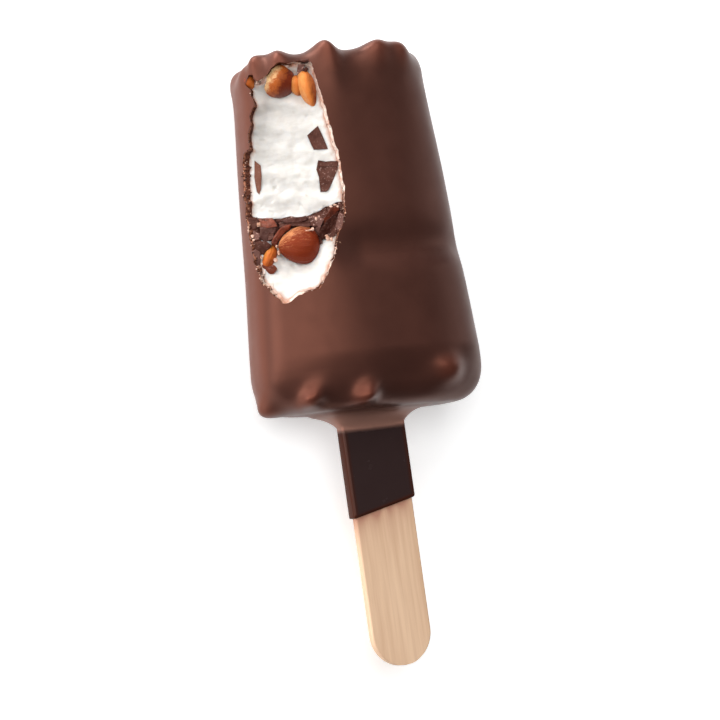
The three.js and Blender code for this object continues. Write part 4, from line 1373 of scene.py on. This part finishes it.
# one shard in the bar's place: its outline drawn out to its top face, bevelled and roughened
def shardBody(shard, seed, edges):
    outline = shard["outline"]
    middle = sum((Vector(spot) for spot in outline), Vector((0, 0))) / len(outline)
    level = floorOver(middle.x, middle.y, edges) + shard["rise"]
    flush = shard["climb"] is None
    bm = bmesh.new()
    bm.faces.new([bm.verts.new((u, v, shardForm["deep"])) for u, v in outline])
    raised = bmesh.ops.extrude_face_region(bm, geom=list(bm.faces), use_keep_orig=True)
    for item in raised["geom"]:
        if isinstance(item, bmesh.types.BMVert):
            if flush:
                item.co.z = floorOver(item.co.x, item.co.y, edges) + shard["rise"]
            else:
                climbU, climbV = shard["climb"]
                slope = climbU * (item.co.x - middle.x) + climbV * (item.co.y - middle.y)
                item.co.z = level + slope * shardForm["tilt"]
    faceOutward(bm)
    bmesh.ops.bevel(
        bm, geom=bm.edges, offset=shard.get("bevel", shardForm["bevel"]), segments=2, affect="EDGES",
        profile=0.5, material=-1,
    )
    bmesh.ops.triangulate(bm, faces=bm.faces)
    bmesh.ops.subdivide_edges(bm, edges=bm.edges, cuts=shardForm["cuts"], use_grid_fill=True)
    bm.normal_update()
    for vert in bm.verts if flush else []:
        if all(face.normal.z > 0.8 for face in vert.link_faces):
            vert.co.z = floorOver(vert.co.x, vert.co.y, edges) + shard["rise"]
    calm = shardForm["calm"] if flush else 1
    for vert in bm.verts:
        push = Vector()
        for size, depth in shardForm["rough"]:
            spot = vert.co / size + Vector((seed * 5.1, 0, 0))
            push += Vector([noise.noise(spot + Vector((9 * k, 0, 0))) for k in range(3)]) * depth
        vert.co = fromBite(*(vert.co + push * calm))
    faceOutward(bm)
    return bm


# several shards as one piece, with the layers that its material reads
def makeShards(name, shards, nodes, seed, edges):
    whole = bmesh.new()
    pale, tone = whole.verts.layers.float.new("pale"), whole.verts.layers.float.new("tone")
    for index, shard in enumerate(shards):
        part = bpy.data.meshes.new("shard")
        body = shardBody(shard, seed + index, edges)
        paleHere, toneHere = body.verts.layers.float.new("pale"), body.verts.layers.float.new("tone")
        for vert in body.verts:
            vert[paleHere] = shard.get("pale", shardForm["pale"])
            vert[toneHere] = shardForm["tones"].get(shard.get("look"), 0.0)
        body.to_mesh(part)
        body.free()
        whole.from_mesh(part)
        bpy.data.meshes.remove(part)
    finishPiece(makeObject(name, whole), darkLook, nodes, sharp=32)


# crumbs on the bite's edge: the stretch of v and side that they lie on, how many, how large
crumbs = {
    "dark_crumbs": {
        "look": darkLook, "seed": 4, "slot": "dark_chocolate", "patches": [
            {"low": 50, "high": 66, "left": True, "count": 75, "size": (0.12, 0.34)},
            {"low": 66, "high": 82, "left": True, "count": 22, "size": (0.1, 0.26)},
            {"low": 30, "high": 50, "left": True, "count": 60, "size": (0.1, 0.32)},
            {"low": 38.5, "high": 42, "left": False, "count": 14, "size": (0.2, 0.42)},
            {"low": 60, "high": 74, "left": False, "count": 9, "size": (0.1, 0.26)},
            {"low": 44, "high": 50, "left": False, "count": 14, "size": (0.1, 0.3)},
        ],
    },
    "pale_crumbs": {
        "look": paleLook, "seed": 9, "slot": "ice_cream", "patches": [
            {"low": 50, "high": 66, "left": True, "count": 22, "size": (0.1, 0.24)},
            {"low": 66, "high": 82, "left": True, "count": 8, "size": (0.1, 0.24)},
            {"low": 30, "high": 50, "left": True, "count": 55, "size": (0.1, 0.3)},
            {"low": 38.5, "high": 42, "left": False, "count": 12, "size": (0.12, 0.34)},
            {"low": 44, "high": 50, "left": False, "count": 14, "size": (0.1, 0.28)},
            {"low": 60, "high": 74, "left": False, "count": 8, "size": (0.1, 0.24)},
        ],
        # u, v, rise over the bite's floor, half sizes along u, v and w; the first two, a whitish streak
        # beside the middle almond and its bright end, are a painted highlight made of pale crumbs
        "spots": [
            (-8.0, 45.6, 2.5, 0.35, 0.38, 0.3), (-9.0, 45.4, 2.9, 1.2, 0.17, 0.2),
            (-19.9, 48.5, 1.3, 0.45, 0.5, 0.3), (-6.9, 47.9, 1.5, 0.3, 0.4, 0.2),
            (-6.2, 48.3, 1.6, 0.25, 0.2, 0.2), (-3.2, 50.0, 2.0, 0.35, 0.25, 0.2),
            (-2.3, 50.2, 2.0, 0.4, 0.2, 0.2), (-1.7, 49.7, 1.8, 0.25, 0.25, 0.2),
            (-4.9, 42.9, 1.4, 0.5, 0.6, 0.4), (-4.1, 42.5, 1.4, 0.35, 0.45, 0.4),
            (-2.5, 41.6, 1.0, 0.5, 0.4, 0.4), (-5.1, 43.6, 1.5, 0.4, 0.25, 0.3),
            (-16.3, 41.6, 1.1, 0.4, 0.6, 0.4), (-20.3, 40.9, 0.9, 0.2, 0.4, 0.2),
            (-21.7, 46.1, 1.0, 0.35, 0.45, 0.3), (-21.5, 45.2, 0.9, 0.4, 0.3, 0.3),
            (-22.3, 48.2, 0.9, 0.25, 0.4, 0.2), (-18.3, 80.4, 0.9, 0.35, 0.4, 0.3),
            (-17.9, 79.7, 0.8, 0.3, 0.3, 0.3), (-18.2, 74.5, 0.9, 0.3, 0.35, 0.3),
            (-17.2, 40.0, 0.8, 0.5, 0.5, 0.5), (-16.6, 43.0, 1.3, 0.25, 0.4, 0.2),
        ],
    },
}


# small crumbs strewn along the broken edge, and larger ones at chosen spots
def makeCrumbs(name, kind, edges):
    draw = random.Random(kind["seed"])
    whole = bmesh.new()
    for patch in kind["patches"]:
        places = [
            edge for edge in edges
            if patch["low"] < edge[0].y < patch["high"] and (edge[0].x < -15) == patch["left"]
        ]
        for _ in range(patch["count"]):
            rim, inner = draw.choice(places)[:2]
            spot = fromBite(*rim.lerp(inner, draw.uniform(-0.12, 1.15)))
            size = draw.uniform(*patch["size"])
            angle = draw.uniform(0, 6.28)
            turned = Matrix.Rotation(angle, 4, Vector([draw.gauss(0, 1) for _ in range(3)]))
            made = bmesh.ops.create_icosphere(whole, subdivisions=1, radius=size)
            stretch = Vector([draw.uniform(0.55, 1.1) for _ in range(3)])
            for vert in made["verts"]:
                stretched = Vector([a * b for a, b in zip(vert.co, stretch)])
                vert.co = turned @ stretched * draw.uniform(0.8, 1.15)
                vert.co += spot
    for u, v, rise, *halves in kind.get("spots", []):
        made = bmesh.ops.create_icosphere(whole, subdivisions=2, radius=1)
        level = floorOver(u, v, edges) + rise
        for vert in made["verts"]:
            push = noise.noise(vert.co * 1.3 + Vector((u, v, 0))) * 0.6 + 1
            away = Vector([a * b * push for a, b in zip(vert.co, halves)])
            vert.co = fromBite(u + away.x, v + away.y, level + away.z)
    faceOutward(whole)
    piece = makeObject(name, whole)
    setLayer(piece, "pale", [0.3] * len(piece.data.vertices))
    finishPiece(piece, kind["look"], sharp=20)


# the wood, with a little grain in its flat faces and a stain below the chocolate
def makeStick():
    bm = stickBody(0, stick["rows"], stick["columns"], stick["bevel"])
    for vert in bm.verts:
        if abs(vert.co.z) > stick["thickness"] / 2 - 0.01:
            grain = noise.noise(Vector((vert.co.x / 0.5, vert.co.y / 14, vert.co.z)))
            vert.co.z += math.copysign(grain * stick["grain"], vert.co.z)
    piece = makeObject("birch_stick", bm)
    stain = []
    for vert in piece.data.vertices:
        spot = vert.co
        below = dipLine(spot.x) - spot.y
        soak = noise.noise(Vector((spot.x / 2.2, spot.y / 9, 4.4)))
        stain.append(max(0.0, math.exp(-max(below, 0) / 2.6) * (0.55 + 0.6 * soak)))
    setLayer(piece, "stain", stain)
    finishPiece(piece, birchLook, ["stick"], sharp=60)


biteRim = biteEdges()
print("bite's edge ready")
makeCoating(biteRim)
makeFilling(biteRim)
for index, (name, nut) in enumerate(almonds.items()):
    makeAlmond(name, nut, index + 1.0)
for index, (name, shards) in enumerate(chunks.items()):
    makeShards(name.replace("chunk", "dark_chunk"), shards, [name], 10.0 * index, biteRim)
makeShards("dark_shards", bandShards, [], 50.0, biteRim)
for name, kind in crumbs.items():
    makeCrumbs(name, kind, biteRim)
makeStick()
